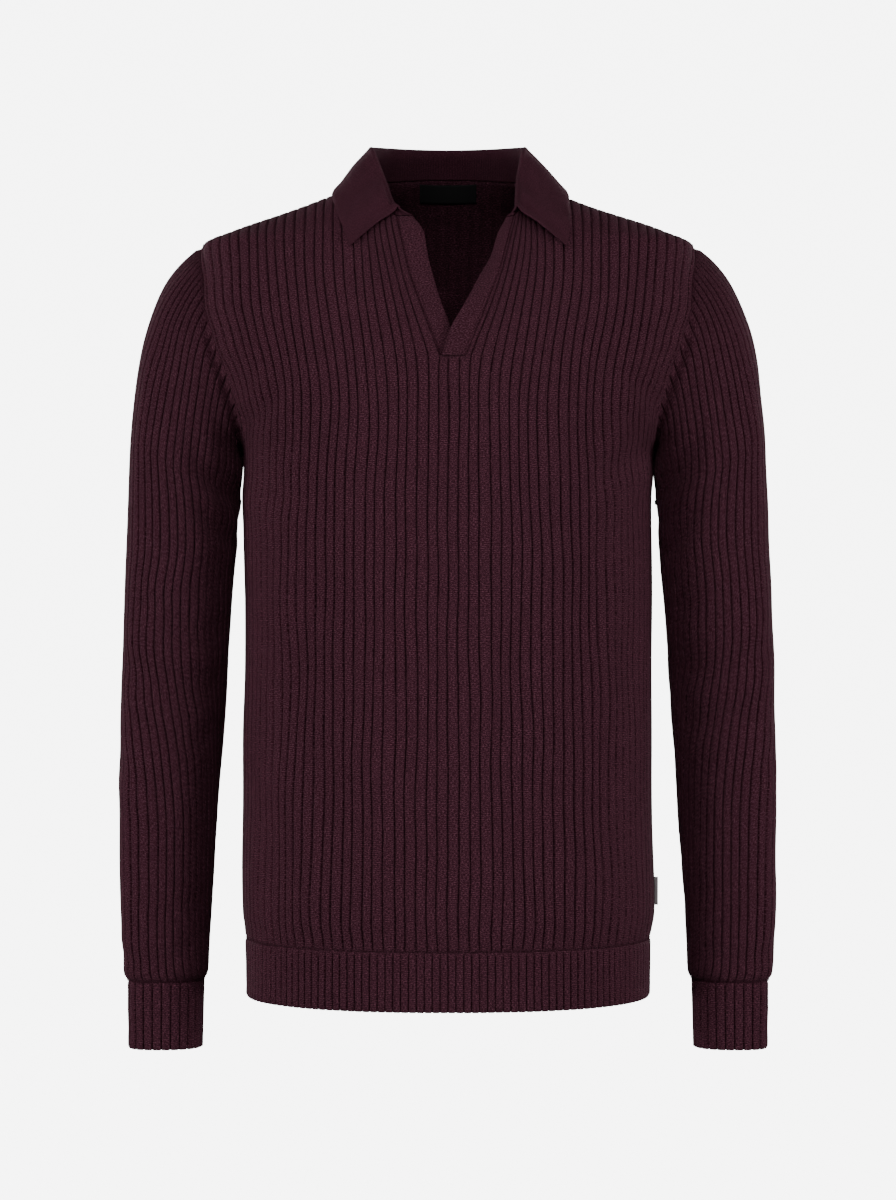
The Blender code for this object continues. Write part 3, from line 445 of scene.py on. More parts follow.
def creased(u, v, table):
    """How far the cloth lies out or in where creases run. Each is a valley between two low ridges."""
    total = np.zeros(np.broadcast(u, v).shape)
    for u0, v0, u1, v1, width, depth in table:
        run = np.array([u1 - u0, v1 - v0], float)
        length = np.linalg.norm(run)
        run /= length
        along = ((u - u0) * run[0] + (v - v0) * run[1]) / length
        bow = 0.10 * length * (1.0 - (2.0 * along - 1.0) ** 2)
        aside = np.abs((u - u0) * run[1] - (v - v0) * run[0] - bow) / width
        taper = ease((along + 0.25) / 0.5) * ease((1.25 - along) / 0.5)
        total += depth * taper * (0.5 * np.exp(-(aside - 1.7) ** 2) - np.exp(-aside ** 2))
    return total


# --- The body's outer form ------------------------------------------------------------------------------

def body_section(z, side):
    """Half width, depth and squareness of the body at levels."""
    depth_column = 2 if side == FRONT else 3
    return [smooth(z, BODY_FORM[:, 0], BODY_FORM[:, i]) for i in (1, depth_column, 4)]


def depth_at(x, z, side):
    """y of the body's outer form over x, z."""
    width, depth, square = body_section(z, side)
    share = np.minimum(np.abs(x) / width, 1.0)
    return side * depth * (1.0 - share ** square) ** (1.0 / square)


def on_body(x, z, side):
    """The point of the body's outer form over x, z."""
    return np.array([x, float(depth_at(x, z, side)), z])


def quarter(z, side):
    """Points of the body's outline at a level, from the middle of the front or back to the side."""
    width, depth, square = body_section(z, side)
    turn = np.linspace(0.0, np.pi / 2, 121)
    x = width * np.sin(turn) ** (2.0 / square)
    y = depth * np.cos(turn) ** (2.0 / square)
    y[-1] = 0.0
    return np.stack([x, side * y, np.full_like(x, z)], axis=1)


def armhole_x(z, side):
    """How far out the armhole seam lies at levels."""
    width, depth, square = body_section(z, side)
    reach = smooth(z, ARMHOLE[:, 0], ARMHOLE[:, 1 if side == FRONT else 2])
    return width * (1.0 - np.minimum(reach / depth, 1.0) ** square) ** (1.0 / square)


def slit_x(z, side, hand):
    """How far a half panel's inner edge lies from the middle at levels. hand is -1 for the wearer's right."""
    return smooth(z, SLIT[:, 0], SLIT[:, 1 if hand < 0 else 2]) if side == FRONT else 0.0


def outside_body(point):
    """How far a point lies outside the body's outer form, and the way straight out from it."""
    def reach(at):
        width, depth, square = body_section(at[2], FRONT if at[1] < 0 else BACK)
        return ((abs(at[0]) / width) ** square + (abs(at[1]) / depth) ** square) ** (1.0 / square) - 1.0

    small = 0.4
    steps = np.eye(3) * small
    slope = np.array([(reach(point + step) - reach(point - step)) / (2 * small) for step in steps])
    steep = np.linalg.norm(slope)
    return reach(point) / steep, slope / steep


def lifted(point):
    """The point of the collar's leaf, moved straight out until it clears the body's outer form."""
    for _ in range(4):
        distance, way = outside_body(point)
        point = point + way * max(FINE_WALL + LEAF_CLEARANCE - distance, 0.0)
    return point


def ridge_z(x):
    """The shoulder line's height over x."""
    levels = np.linspace(SHOULDER_POINT, BODY_FORM[-1, 0], 681)
    widths = smooth(levels, BODY_FORM[:, 0], BODY_FORM[:, 1])
    return float(np.interp(x, widths[::-1], levels[::-1]))


# --- Ribs -----------------------------------------------------------------------------------------------

def rib_columns(count):
    """The columns across a number of ribs, numbered in half ribs."""
    return np.concatenate([[2 * n + 2 * part for part, _ in PROFILE] for n in range(count)] + [[2 * count]])


def rib_places(count, pitch, seed, fixed=()):
    """Places of the columns across ribs, from 0 out, as half ribs and as sizes, with uneven pitches."""
    rng = np.random.default_rng(seed)
    grooves = np.arange(0, count + 1, 2)
    shift = rng.uniform(-UNEVEN_PITCH, UNEVEN_PITCH, len(grooves)) * 2.0 * pitch
    shift[[0, -1]] = 0.0
    for half_rib in fixed:
        shift[np.abs(grooves - half_rib) < 1.5] = 0.0
    numbers = rib_columns(count // 2)
    return numbers, numbers * pitch + np.interp(numbers, grooves, shift)


def rib_height(numbers):
    """0 in a groove and 1 on a rib, for columns numbered in half ribs."""
    parts, heights = np.array(PROFILE + ((1.0, 0.0),)).T
    return np.interp(np.mod(numbers / 2.0, 1.0), parts, heights)[:, None]


def groove_depth(ribs, places, along, seed):
    """How deep grooves lie under their ribs, a little unevenly."""
    uneven = 1.0 + 0.10 * waves(places[:, None], along, seed, 25.0, 90.0)
    return RIB_RELIEF * (1.0 - ribs) * np.clip(uneven, 0.7, 1.25)


def two_faces(grid, outward, swell, sink, ribs, inside):
    """The outer and inner points of a ribbed wall."""
    base = grid + outward * swell[..., None]
    lining = WALL + LINING_SWELL * (1.0 - 2.0 * ribs) * inside
    return base - outward * sink[..., None], base - outward * lining[..., None]


# --- Front and back panels ------------------------------------------------------------------------------

def edge_place(side, hand):
    """Where the upper part of a half panel starts, across the panel."""
    return SLIT_RIBS[hand] * HALF_RIB if side == FRONT else 0.0


def top_end(place, side, hand):
    """x and z where a rib line ends, at the armhole, the neckline or the shoulder seam."""
    if place > ACROSS_RIB + CLOSE:
        lower = ARMHOLE[ARMHOLE[:, 0] <= SLIT_FOOT]
        return 0.0, float(np.interp(place, lower[::-1, 3], lower[::-1, 0]))
    start = float(slit_x(SLIT_TOP_Z, side, hand))
    x = float(np.interp(place, [edge_place(side, hand), NECK_RIB, ACROSS_RIB], [start, NECK_X, SHOULDER_X]))
    if x >= NECK_X:
        return x, ridge_z(x)
    if side == BACK:
        return x, BACK_NECK_Z + (NECK_Z - BACK_NECK_Z) * (x / NECK_X) ** 2
    return x, SLIT_TOP_Z + (NECK_Z - SLIT_TOP_Z) * max((x - start) / (NECK_X - start), 0.0) ** 1.2


def slit_ease(from_slit, z, side):
    """1 where rib lines may be straightened, and 0 beside the slit and just under its foot."""
    below = 1.0 - ease((z - SLIT_FOOT + 70.0) / 60.0)
    return below + (1.0 - below) * ease(from_slit / 28.0) if side == FRONT else 1.0


def level_shares(z, places, side, hand):
    """Where rib lines cross a level, as shares of its quarter, and how firmly each is held there."""
    edge = edge_place(side, hand)
    line = quarter(z, side)
    along = lengths_along(line)
    last, last_place = along[-1], PANEL_QUARTER
    if z > UNDERARM:
        last = np.interp(armhole_x(z, side), line[:, 0], along)
        last_place = np.interp(z, ARMHOLE[:, 0], ARMHOLE[:, 3])
    first, first_place = 0.0, 0.0
    if side == FRONT and z > SLIT_FOOT:
        first, first_place = np.interp(slit_x(z, side, hand), line[:, 0], along), edge
    wanted = first + (last - first) * (places - first_place) / (last_place - first_place)
    if side == FRONT and z <= SLIT_FOOT:
        pull = slit_x(SLIT_FOOT, side, hand) - np.interp(edge, places, wanted)
        reach = np.where(places < edge, places / edge, np.exp(-(places - edge) / 45.0))
        wanted = wanted + pull * reach * math.exp((z - SLIT_FOOT) / 30.0)
    free = ease((last_place - places) / 34.0) * slit_ease(places - edge, z, side)
    return np.clip(wanted, 0.0, last) / along[-1], 1.0 - free


def low_field(places, side, hand):
    """Points of the rib places at LOW_LEVELS, [level, place, xyz]. Ribs bend softly into the armhole."""
    shares, held = np.array([level_shares(z, places, side, hand) for z in LOW_LEVELS]).swapaxes(0, 1)
    spread = np.exp(-0.5 * ((LOW_LEVELS[:, None] - LOW_LEVELS[None]) / 15.0) ** 2)
    soft = (spread / spread.sum(axis=1, keepdims=True)) @ shares
    shares = shares * held + soft * (1.0 - held)
    return np.array([read_line(quarter(z, side), row) for z, row in zip(LOW_LEVELS, shares)])


def yoke_line(place, chest_x, side, hand):
    """Points of one rib line above CHEST, up to its end."""
    end_x, end_z = top_end(place, side, hand)
    z = CHEST + (end_z - CHEST) * (1.0 - (1.0 - np.linspace(0.0, 1.0, 49)) ** 2)
    start = slit_x(CHEST, side, hand)
    low_share = (chest_x - start) / (armhole_x(CHEST, side) - start)
    top_start = slit_x(min(end_z, SLIT_TOP_Z), side, hand)
    top_share = (end_x - top_start) / (SHOULDER_X - top_start)
    share = low_share + (top_share - low_share) * ease((z - CHEST) / (end_z - CHEST))
    first = slit_x(np.minimum(z, SLIT_TOP_Z), side, hand)
    last = np.where(z < SHOULDER_POINT, armhole_x(np.minimum(z, SHOULDER_POINT), side), SHOULDER_X)
    x = first + (last - first) * share
    y = depth_at(x, z, side)
    if end_x >= NECK_X:
        y[-1] = 0.0
    return np.stack([x, y, z], axis=1)


def moved_aside(line, shift, free, side):
    """A line with its points moved sideways on the body's outer form where they are free."""
    made = line.copy()
    made[:, 0] += shift * free
    moved = free > 0.0
    made[moved, 1] = depth_at(made[moved, 0], line[moved, 2], side)
    return made


def straightened(line, loose, from_slit, side):
    """A rib line with its sideways bends above the skirt drawn straighter."""
    z = line[:, 2]
    near = np.exp(-0.5 * ((z[:, None] - z[None]) / STRAIGHT_REACH) ** 2) * np.gradient(z)[None]
    slope = (line[-1, 0] - np.interp(z[-1] - 60.0, z, line[:, 0])) / 60.0
    beyond = z[-1] + np.arange(STRAIGHT_STEP, 100.0, STRAIGHT_STEP)
    weight = np.exp(-0.5 * ((z[:, None] - beyond[None]) / STRAIGHT_REACH) ** 2) * STRAIGHT_STEP
    drawn = near @ line[:, 0] + weight @ (line[-1, 0] + slope * (beyond - z[-1]))
    drawn = drawn / (near.sum(axis=1) + weight.sum(axis=1))
    free = loose * ease((z + 320.0) / 60.0) * ease((z[-1] - z) / 25.0) * slit_ease(from_slit, z, side)
    return moved_aside(line, drawn - line[:, 0], free, side)


def wavered(line, place, from_slit, side, hand):
    """A rib line above the hem that wavers a little from side to side, as knitted cloth does."""
    z = line[:, 2]
    free = ease((ACROSS_RIB - place) / 30.0) * ease((z - HEM_JOIN) / 20.0) * ease((z[-1] - z) / 20.0)
    free = free * slit_ease(from_slit, z, side)
    shift = hand * WAVER * waves(np.full_like(z, place * hand), z, SEEDS["waver"] + side, 45.0, 160.0)
    return moved_aside(line, shift, free, side)


def half_panel(side, hand):
    """Columns of half a panel from the middle out: half-rib numbers, places and points [column, row, xyz]."""
    fixed = [SLIT_RIBS[hand], ACROSS_RIB / HALF_RIB]
    numbers, places = rib_places(PANEL_RIBS, HALF_RIB, 3 * side + hand + SEEDS["pitch"], fixed)
    field = low_field(places, side, hand)
    low_count = np.count_nonzero(LOW_LEVELS <= SLIT_FOOT)
    steps = np.linspace(0.0, 1.0, LOW_ROWS) ** 1.06
    yoke_steps = np.linspace(0.0, 1.0, YOKE_ROWS + 1)[1:]
    yoke_steps = yoke_steps + 0.012 * np.sin(np.pi * yoke_steps) * yoke_steps
    edge = edge_place(side, hand)
    columns = []
    for i, place in enumerate(places):
        goes_up = place < ACROSS_RIB + CLOSE
        foot = SLIT_FOOT if goes_up else top_end(place, side, hand)[1]
        whole = field[:, i]
        if goes_up:
            loose = ease((ACROSS_RIB - place) / 60.0)
            upper_line = yoke_line(max(place, edge), field[-1, i, 0], side, hand)
            whole = straightened(np.concatenate([whole, upper_line[1:]]), loose, place - edge, side)
            whole = wavered(whole, place, place - edge, side, hand)
        z = HEM_JOIN + (foot - HEM_JOIN) * steps
        low = np.stack([np.interp(z, LOW_LEVELS, whole[:len(LOW_LEVELS), c]) for c in range(3)], axis=1)
        upper = np.full((YOKE_ROWS, 3), np.nan)
        if goes_up and place > edge - CLOSE:
            upper = read_line(np.concatenate([low[-1:], whole[low_count:]]), yoke_steps)
        columns.append(np.concatenate([low, upper]))
    return numbers, places, np.array(columns)


def panel_grid(side):
    """A panel's columns from the wearer's right: numbers, places, points, which go up, and its cells."""
    right, left = half_panel(side, -1), half_panel(side, 1)
    numbers, places = [np.concatenate([-right[i][::-1], left[i][1:]]) for i in (0, 1)]
    grid = np.concatenate([right[2][::-1] * (-1, 1, 1), left[2][1:]])
    if side == FRONT:
        grid[len(right[0]) - 1, LOW_ROWS:] = np.nan
    has_yoke = np.isfinite(grid[:, -1, 0])
    cells = np.ones((grid.shape[0] - 1, grid.shape[1] - 1), bool)
    cells[:, LOW_ROWS - 1:] = (has_yoke[1:] & has_yoke[:-1])[:, None]
    if side == FRONT:
        slit = [np.flatnonzero(np.isclose(numbers, hand * SLIT_RIBS[hand]))[0] for hand in (-1, 1)]
        cells[slit[0]:slit[1], LOW_ROWS - 1:] = False
    grid[:, :, 1] = side * np.maximum(side * grid[:, :, 1], SEAM_GAP / 2)
    return numbers, places, grid, has_yoke, cells


def panel_outward(numbers, grid, has_yoke, on_shoulder, side):
    """Directions out of a panel, level at the hem and with no depth at the side and shoulder seams."""
    outward = np.full_like(grid, np.nan)
    outward[:, :LOW_ROWS] = normals_of(grid[:, :LOW_ROWS])
    parts = [has_yoke] if side == BACK else [has_yoke & (numbers < 0), has_yoke & (numbers > 0)]
    for part in parts:
        outward[part] = normals_of(grid[part])
    outward *= 1 if np.nansum(outward[..., 1]) * side > 0 else -1
    outward[[0, -1], :, 1] = 0.0
    outward[:, 0, 2] = 0.0
    outward[on_shoulder, -1, 1] = 0.0
    return unit(outward)


def make_panel(name, side, finish):
    """Front or back: the ribbed wall, and its armhole, neck and slit edges."""
    numbers, places, grid, has_yoke, cells = panel_grid(side)
    on_shoulder = has_yoke & (np.abs(grid[:, -1, 0]) >= NECK_X - CLOSE)
    outward = panel_outward(numbers, grid, has_yoke, on_shoulder, side)
    along = column_lengths(grid)
    to_end = np.where(has_yoke, along[:, -1], along[:, LOW_ROWS - 1])[:, None] - along
    to_end = np.where(np.isfinite(to_end), to_end, 0.0)
    to_side = np.abs(np.abs(places) - PANEL_QUARTER)[:, None]
    upper = np.arange(grid.shape[1])[None] >= LOW_ROWS - 1
    to_armhole = np.where(upper, np.abs(ACROSS_RIB - np.abs(places))[:, None], FAR)
    slit = np.where(numbers < 0, edge_place(side, -1), edge_place(side, 1))
    to_slit = np.where(upper & (side == FRONT), np.abs(np.abs(places) - slit)[:, None], FAR)
    inside = clear_of((along, END_FADE), (to_end, END_FADE), (to_side, SIDE_FADE), (to_armhole, SIDE_FADE),
                      (to_slit, SLIT_FADE), lead=FADE_LEAD)
    calm = clear_of((along, 14.0), (to_end, 14.0), (to_side, 10.0), (to_armhole, 12.0), (to_slit, 12.0))
    by_shoulder = on_shoulder[:, None] * (1.0 - ease(to_end / SHOULDER_FADE))

    swell = creased(grid[..., 0], grid[..., 2], PANEL_CREASES[side])
    swell += 0.7 * waves(grid[..., 0], grid[..., 2], SEEDS["panel"] + side, 70.0, 220.0)
    for place, depth in PUCKERS:
        swell -= depth * np.exp(-((places[:, None] - place) / 7.0) ** 2 - ((along - 12.0) / 16.0) ** 2)
    ribs = rib_height(numbers)
    sink = groove_depth(ribs, places, along, SEEDS["panel_groove"] + side)
    sink = sink * (1.0 - 0.95 * by_shoulder) + 0.6 * by_shoulder
    sink = sink * inside + SEAM_SINK * (1.0 - inside)
    sink += CORNER_DROP * (1.0 - ease(to_armhole / 18.0)) * by_shoulder
    outer, inner = two_faces(grid, outward, swell * calm, sink, ribs, inside)
    # Painted shade in the grooves between ribs, lighter near the shoulder seam
    groove = (1.0 - ribs) * inside * (1.0 - 0.4 * by_shoulder)
    chart = (places[:, None], along)
    piece = closed_shell(name, outer, inner, chart, finish, groove, numbers, cells)
    return {"piece": piece, "numbers": numbers, "outer": outer, "inner": inner, "has_yoke": has_yoke,
            "on_shoulder": on_shoulder}


def panel_edges(panel, side, hand):
    """A panel's armhole edge (outer and inner points), neck edge and slit edge on one hand."""
    numbers = panel["numbers"]
    mine = np.flatnonzero(numbers * hand >= 0)
    order = mine[np.argsort(np.abs(numbers[mine]))]
    size = np.abs(numbers[order])
    across = order[np.abs(size * HALF_RIB - ACROSS_RIB) < 1.0][0]
    below = order[size > abs(numbers[across]) + CLOSE]
    armhole = [np.concatenate([panel[wall][across, :LOW_ROWS - 2:-1], panel[wall][below, LOW_ROWS - 1]])
               for wall in ("outer", "inner")]
    on_neck = panel["has_yoke"][order] & ~panel["on_shoulder"][order]
    neck = order[on_neck & ((side == BACK) | (size >= SLIT_RIBS[hand] - CLOSE))]
    middle = (panel["outer"] + panel["inner"]) / 2
    edge = order[np.abs(size - SLIT_RIBS[hand]) < CLOSE][0]
    return armhole, middle[neck, -1], panel["outer"][edge, LOW_ROWS - 1:]


# --- Meshes ---------------------------------------------------------------------------------------------

def cell_edges(cells, across):
    """The edge of the cloth as a loop of (column, row), the cloth on its left."""
    follow = {}
    columns, rows = cells.shape
    for i, k in zip(*np.nonzero(cells)):
        beside = [(i, k - 1), (i + 1, k), (i, k + 1), (i - 1, k)]
        corners = [(i, k), (i + 1, k), (i + 1, k + 1), (i, k + 1)]
        for n, (ni, nk) in enumerate(beside):
            if not (0 <= ni < columns and 0 <= nk < rows and cells[ni, nk]):
                follow[corners[n]] = corners[(n + 1) % 4]
    loop = [(0, 0)]
    while follow[loop[-1]] != loop[0]:
        loop.append(follow[loop[-1]])
    return [(int(across[i]), int(k)) for i, k in loop]


def rim_faces(outside, inside, flat, lining):
    """Faces round the open edges, from every column outside to the fewer ones inside."""
    faces = []
    marks = [n for n, corner in enumerate(outside) if corner in inside]
    for n, mark in enumerate(marks):
        count = (marks[(n + 1) % len(marks)] - mark) % len(outside)
        chain = [outside[(mark + c) % len(outside)] for c in range(count + 1)]
        half = count // 2
        near, far = int(lining[chain[0]]), int(lining[chain[-1]])
        for c in range(count):
            faces.append([int(flat[chain[c + 1]]), int(flat[chain[c]]), near if c < half else far])
        faces.append([int(flat[chain[half]]), near, far])
    return faces


def closed_shell(name, outer, inner, chart, finish, groove=0.0, numbers=None, cells=None):
    """A closed wall in place of its solid. chart holds each point's place across and along the cloth. With
    numbers in half ribs, the outside has every column and the inside only the whole ones."""
    columns, rows = outer.shape[:2]
    if cells is None:
        cells = np.ones((columns - 1, rows - 1), bool)
    kept = np.arange(columns)
    if numbers is not None:
        kept = np.flatnonzero(np.abs(numbers - np.round(numbers)) < 1e-6)
    coarse = np.array([cells[a:b].all(axis=0) for a, b in zip(kept[:-1], kept[1:])])
    flat = np.arange(columns * rows).reshape(columns, rows)
    lining = flat + columns * rows
    i, k = np.nonzero(cells)
    faces = [np.stack([flat[i, k], flat[i + 1, k], flat[i + 1, k + 1], flat[i, k + 1]], axis=1)]
    i, k = np.nonzero(coarse)
    near, far = kept[i], kept[i + 1]
    faces.append(np.stack([lining[near, k + 1], lining[far, k + 1], lining[far, k], lining[near, k]], axis=1))
    faces = np.concatenate(faces).tolist()
    faces += rim_faces(cell_edges(cells, np.arange(columns)), set(cell_edges(coarse, kept)), flat, lining)
    points = np.concatenate([outer.reshape(-1, 3), inner.reshape(-1, 3)])
    cloth = np.stack(np.broadcast_arrays(*chart), axis=-1).reshape(-1, 2)
    # The groove mask paints shade; a wall's inside takes more painted shade, as light hardly reaches it
    mask = np.broadcast_to(groove, (columns, rows)).ravel()
    mask = np.concatenate([mask, INSIDE_SHADE + (1.0 - INSIDE_SHADE) * mask])
    piece = mesh_piece(name, points, faces, np.concatenate([cloth, cloth]), mask, finish)
    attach(piece, "root")
    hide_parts(name)
    return piece


def mesh_piece(name, points, faces, cloth, groove, finish):
    """An object from points in millimetres, with its cloth map (in centimetres) and its groove mask of
    painted shade.
    """
    used = np.unique(np.concatenate([np.asarray(face) for face in faces]))
    place = np.full(len(points), -1)
    place[used] = np.arange(len(used))
    faces = [[int(place[n]) for n in face] for face in faces]
    corners = points[used]
    halves = [face[:3] for face in faces] + [face[:1] + face[2:] for face in faces if len(face) == 4]
    tips = corners[np.array(halves)]
    if np.einsum("ij,ij->", tips[:, 0], np.cross(tips[:, 1], tips[:, 2])) < 0:
        faces = [face[::-1] for face in faces]
    mesh = bpy.data.meshes.new(name)
    mesh.from_pydata((corners * MM).tolist(), [], faces)
    chart = mesh.uv_layers.new(name="cloth")
    corner_of = np.empty(len(mesh.loops), np.int32)
    mesh.loops.foreach_get("vertex_index", corner_of)
    chart.data.foreach_set("uv", (cloth[used][corner_of] * 0.1).astype(np.float32).ravel())
    mask = mesh.attributes.new("groove", "FLOAT", "POINT")
    mask.data.foreach_set("value", groove[used].astype(np.float32))
    mesh.materials.append(finish)
    mesh.shade_smooth()
    return new_object(name + "_cloth", mesh)


def new_object(name, data):
    """A new object in the scene."""
    made = bpy.data.objects.new(name, data)
    bpy.context.scene.collection.objects.link(made)
    return made


# --- Sleeves --------------------------------------------------------------------------------------------

def ellipse_half(row, side):
    """Half of a sleeve's ring, from its outer line to its inner line, on the front or the back."""
    outer_x, outer_z, inner_x, inner_z, depth, shift, _ = row
    turn = np.linspace(0.0, np.pi, RING_POINTS)
    square = np.where(turn < np.pi / 2, SLEEVE_SQUARENESS, INNER_SQUARENESS)
    reach = np.sign(np.cos(turn)) * np.abs(np.cos(turn)) ** (2.0 / square)
    swell = np.sin(turn) ** (2.0 / square)
    swell[-1] = 0.0
    middle = np.array([(outer_x + inner_x) / 2, -shift, (outer_z + inner_z) / 2])
    half = np.array([(outer_x - inner_x) / 2, 0.0, (outer_z - inner_z) / 2])
    return middle + reach[:, None] * half + swell[:, None] * np.array([0.0, side * depth, 0.0])


def sleeve_ring(row, side, edge):
    """Half of a sleeve's ring that takes up some of the armhole's shape."""
    plain = ellipse_half(row, side)
    if row[6] == 0.0:
        return plain
    places = np.linspace(0.0, 1.0, RING_POINTS)
    first = ellipse_half(SLEEVE_FORM[0], side)
    return read_line(plain, places) + row[6] * (read_line(edge, places) - read_line(first, places))


def cap_share(share, follow):
    """The place on a cap's ring of a rib at a share of the way round. follow is 1 at the armhole."""
    there = smooth(share, *np.array(CAP_SHARES).T)
    return share + (there - share) * follow


def arm_lines(side, places, hand):
    """Below the upper arm: levels, the ring's size at each, and the ribs' points [level, place, xyz]."""
    rows = SLEEVE_FORM[UPPER_ARM_ROW:]
    heights = (rows[:, 1] + rows[:, 3]) / 2
    levels = np.linspace(heights[0], CUFF_JOIN, 73)
    rings = [ellipse_half([float(smooth(-level, -heights, rows[:, i])) for i in range(7)], side)
             for level in levels]
    girths = np.array([lengths_along(ring)[-1] for ring in rings])
    girths = girths * (SLEEVE_GIRTH / girths[0])
    table = np.array(RIB_DRIFT[hand])
    drift = smooth(-levels, -table[:, 0], table[:, 1 if side == FRONT else 2])
    down = []
    for ring, full, shift in zip(rings, girths, drift):
        shares = np.minimum(places / full, 1.0)
        down.append(read_line(ring, shares + shift / full * np.sin(np.pi * shares) ** 1.1))
    return levels, girths, np.array(down)


def sleeve_half(side, edge, places, hand):
    """Columns of a sleeve's front or back half from its outer line, [column, row, xyz], wearer's left."""
    rows = SLEEVE_FORM[:UPPER_ARM_ROW + 1]
    rings = [sleeve_ring(row, side, edge) for row in rows]
    levels, girths, down = arm_lines(side, places, hand)
    columns = []
    for i, place in enumerate(places):
        share = min(place / SLEEVE_GIRTH, 1.0)
        cap = [read_line(ring, [cap_share(share, row[6] ** 2)])[0] for ring, row in zip(rings, rows)]
        end = CUFF_JOIN
        if place > girths[-1]:
            end = min(float(np.interp(-place, -girths, levels)), levels[0] - 12.0)
        stop = np.array([np.interp(-end, -levels, down[:, i, c]) for c in range(3)])
        line = np.array(cap + [down[k, i] for k in range(1, len(levels)) if levels[k] > end + 2.0] + [stop])
        along = lengths_along(line)
        upper = np.linspace(0.0, along[len(cap) - 1], CAP_ROWS)
        rest = np.linspace(along[len(cap) - 1], along[-1], ARM_ROWS + 1)[1:]
        columns.append(read_curve(line, np.concatenate([upper, rest]) / along[-1]))
    return np.array(columns)


def sleeve_outward(grid):
    """Directions out of a sleeve, level at the cuff and with no depth at the seam along its inner line."""
    outward = normals_of(grid)
    if np.sum(outward * (grid - grid.mean(axis=0)[None])) < 0:
        outward = -outward
    outward[:, -1, 2] = 0.0
    outward[[0, -1], :, 1] = 0.0
    return unit(outward)


def sleeve_swell(numbers, places, grid, along, to_end, to_inner, hand):
    """How far a sleeve lies out or in from its plain form."""
    level = grid[..., 2]
    swell = creased(places[:, None], level, SLEEVE_CREASES[hand])
    swell += 0.6 * waves(places[:, None], level, SEEDS["sleeve"] + hand, 60.0, 190.0)
    swell *= clear_of((along, 16.0), (to_end, 12.0), (to_inner, 8.0))
    on_top = np.exp(-(numbers / 3.0) ** 2)[:, None]
    swell += (SEAM_SINK + 1.2 * on_top) * ease(along / 5.0) * (1.0 - ease(along / 90.0))
    start = grid[:, :1, 2]
    by_front = (numbers < 0)[:, None] * ease((-85.0 - start) / 50.0) * (1.0 - ease((-205.0 - start) / 40.0))
    return swell - FRONT_FOLD * by_front * np.exp(-((along - 9.0) / 6.5) ** 2)


def sew_in(outer, inner, outward, numbers, edges, mirror):
    """Lays a sleeve's first row along the armhole's edge."""
    away = np.array([2 * SEAM_GAP, 0.0, 0.0])
    for i, number in enumerate(numbers):
        share = cap_share(min(abs(number) / SLEEVE_RIBS, 1.0), 1.0)
        side = FRONT if number <= 0 else BACK
        sewn, lining = [read_line(edge, [share])[0] * mirror for edge in edges[side]]
        under = ease((-110.0 - sewn[2]) / 60.0)
        outer[i, 0] = sewn + away * (1.0 + 2.0 * under) + (0.0, 0.0, 2 * SEAM_GAP * under)
        own = outer[i, 0] - outward[i, 0] * 1.6
        inner[i, 0] = (lining + away) * (1.0 - under) + own * under


def make_sleeve(name, hand, edges, finish):
    """One sleeve, sewn to a tube along its inner line."""
    numbers, places = rib_places(SLEEVE_RIBS, SLEEVE_RIB / 2, SEEDS["sleeve_pitch"] + hand)
    mirror = np.array([hand, 1, 1])
    front, back = [sleeve_half(side, edges[side][0] * mirror, places, hand) for side in (FRONT, BACK)]
    grid = np.concatenate([front[::-1], back[1:]])
    numbers, places = [np.concatenate([-values[::-1], values[1:]]) for values in (numbers, places)]
    outward = sleeve_outward(grid)
    along = column_lengths(grid)
    to_end = along[:, -1:] - along
    to_inner = (SLEEVE_GIRTH - np.abs(places))[:, None]
    ribs = rib_height(numbers)
    inside = clear_of((to_end, END_FADE), (to_inner, SIDE_FADE), lead=FADE_LEAD)
    at_armhole = clear_of((along, ARMHOLE_FADE), lead=FADE_LEAD)
    swell = sleeve_swell(numbers, places, grid, along, to_end, to_inner, hand)
    sink = groove_depth(ribs, places, along, SEEDS["sleeve_groove"] + hand)
    sink = sink * inside + SEAM_SINK * (1.0 - inside)
    outer, inner = two_faces(grid, outward, swell, sink * at_armhole, ribs, inside)
    sew_in(outer, inner, outward, numbers, edges, mirror)
    on_seam = grid[:, -1, 2] > CUFF_JOIN + 1.0
    for wall in (outer, inner):
        wall[0, :, 1] += FRONT * SEAM_GAP / 2
        wall[-1, :, 1] += BACK * SEAM_GAP / 2
        wall[on_seam, -1, 1] += np.where(numbers[on_seam] < 0, FRONT, BACK) * SEAM_GAP / 2
        wall[..., 0] *= hand
    # The mask paints shade into the grooves between ribs
    piece = closed_shell(name, outer, inner, (places[:, None], along), finish,
                         (1.0 - ribs) * inside * at_armhole, numbers)
    return piece, outer[on_seam, -1], outer[~on_seam, -1]


# --- Rib bands at the hem and the cuffs -----------------------------------------------------------------

def band_levels(edge, join):
    """Levels of a rib band's rows, finer at its open edge and at its seam."""
    low = [edge + step for step in EDGE_STEPS]
    high = [join - SEAM_GAP - step for step in SEAM_STEPS]
    return low + [(low[-1] + high[0]) / 2] + high


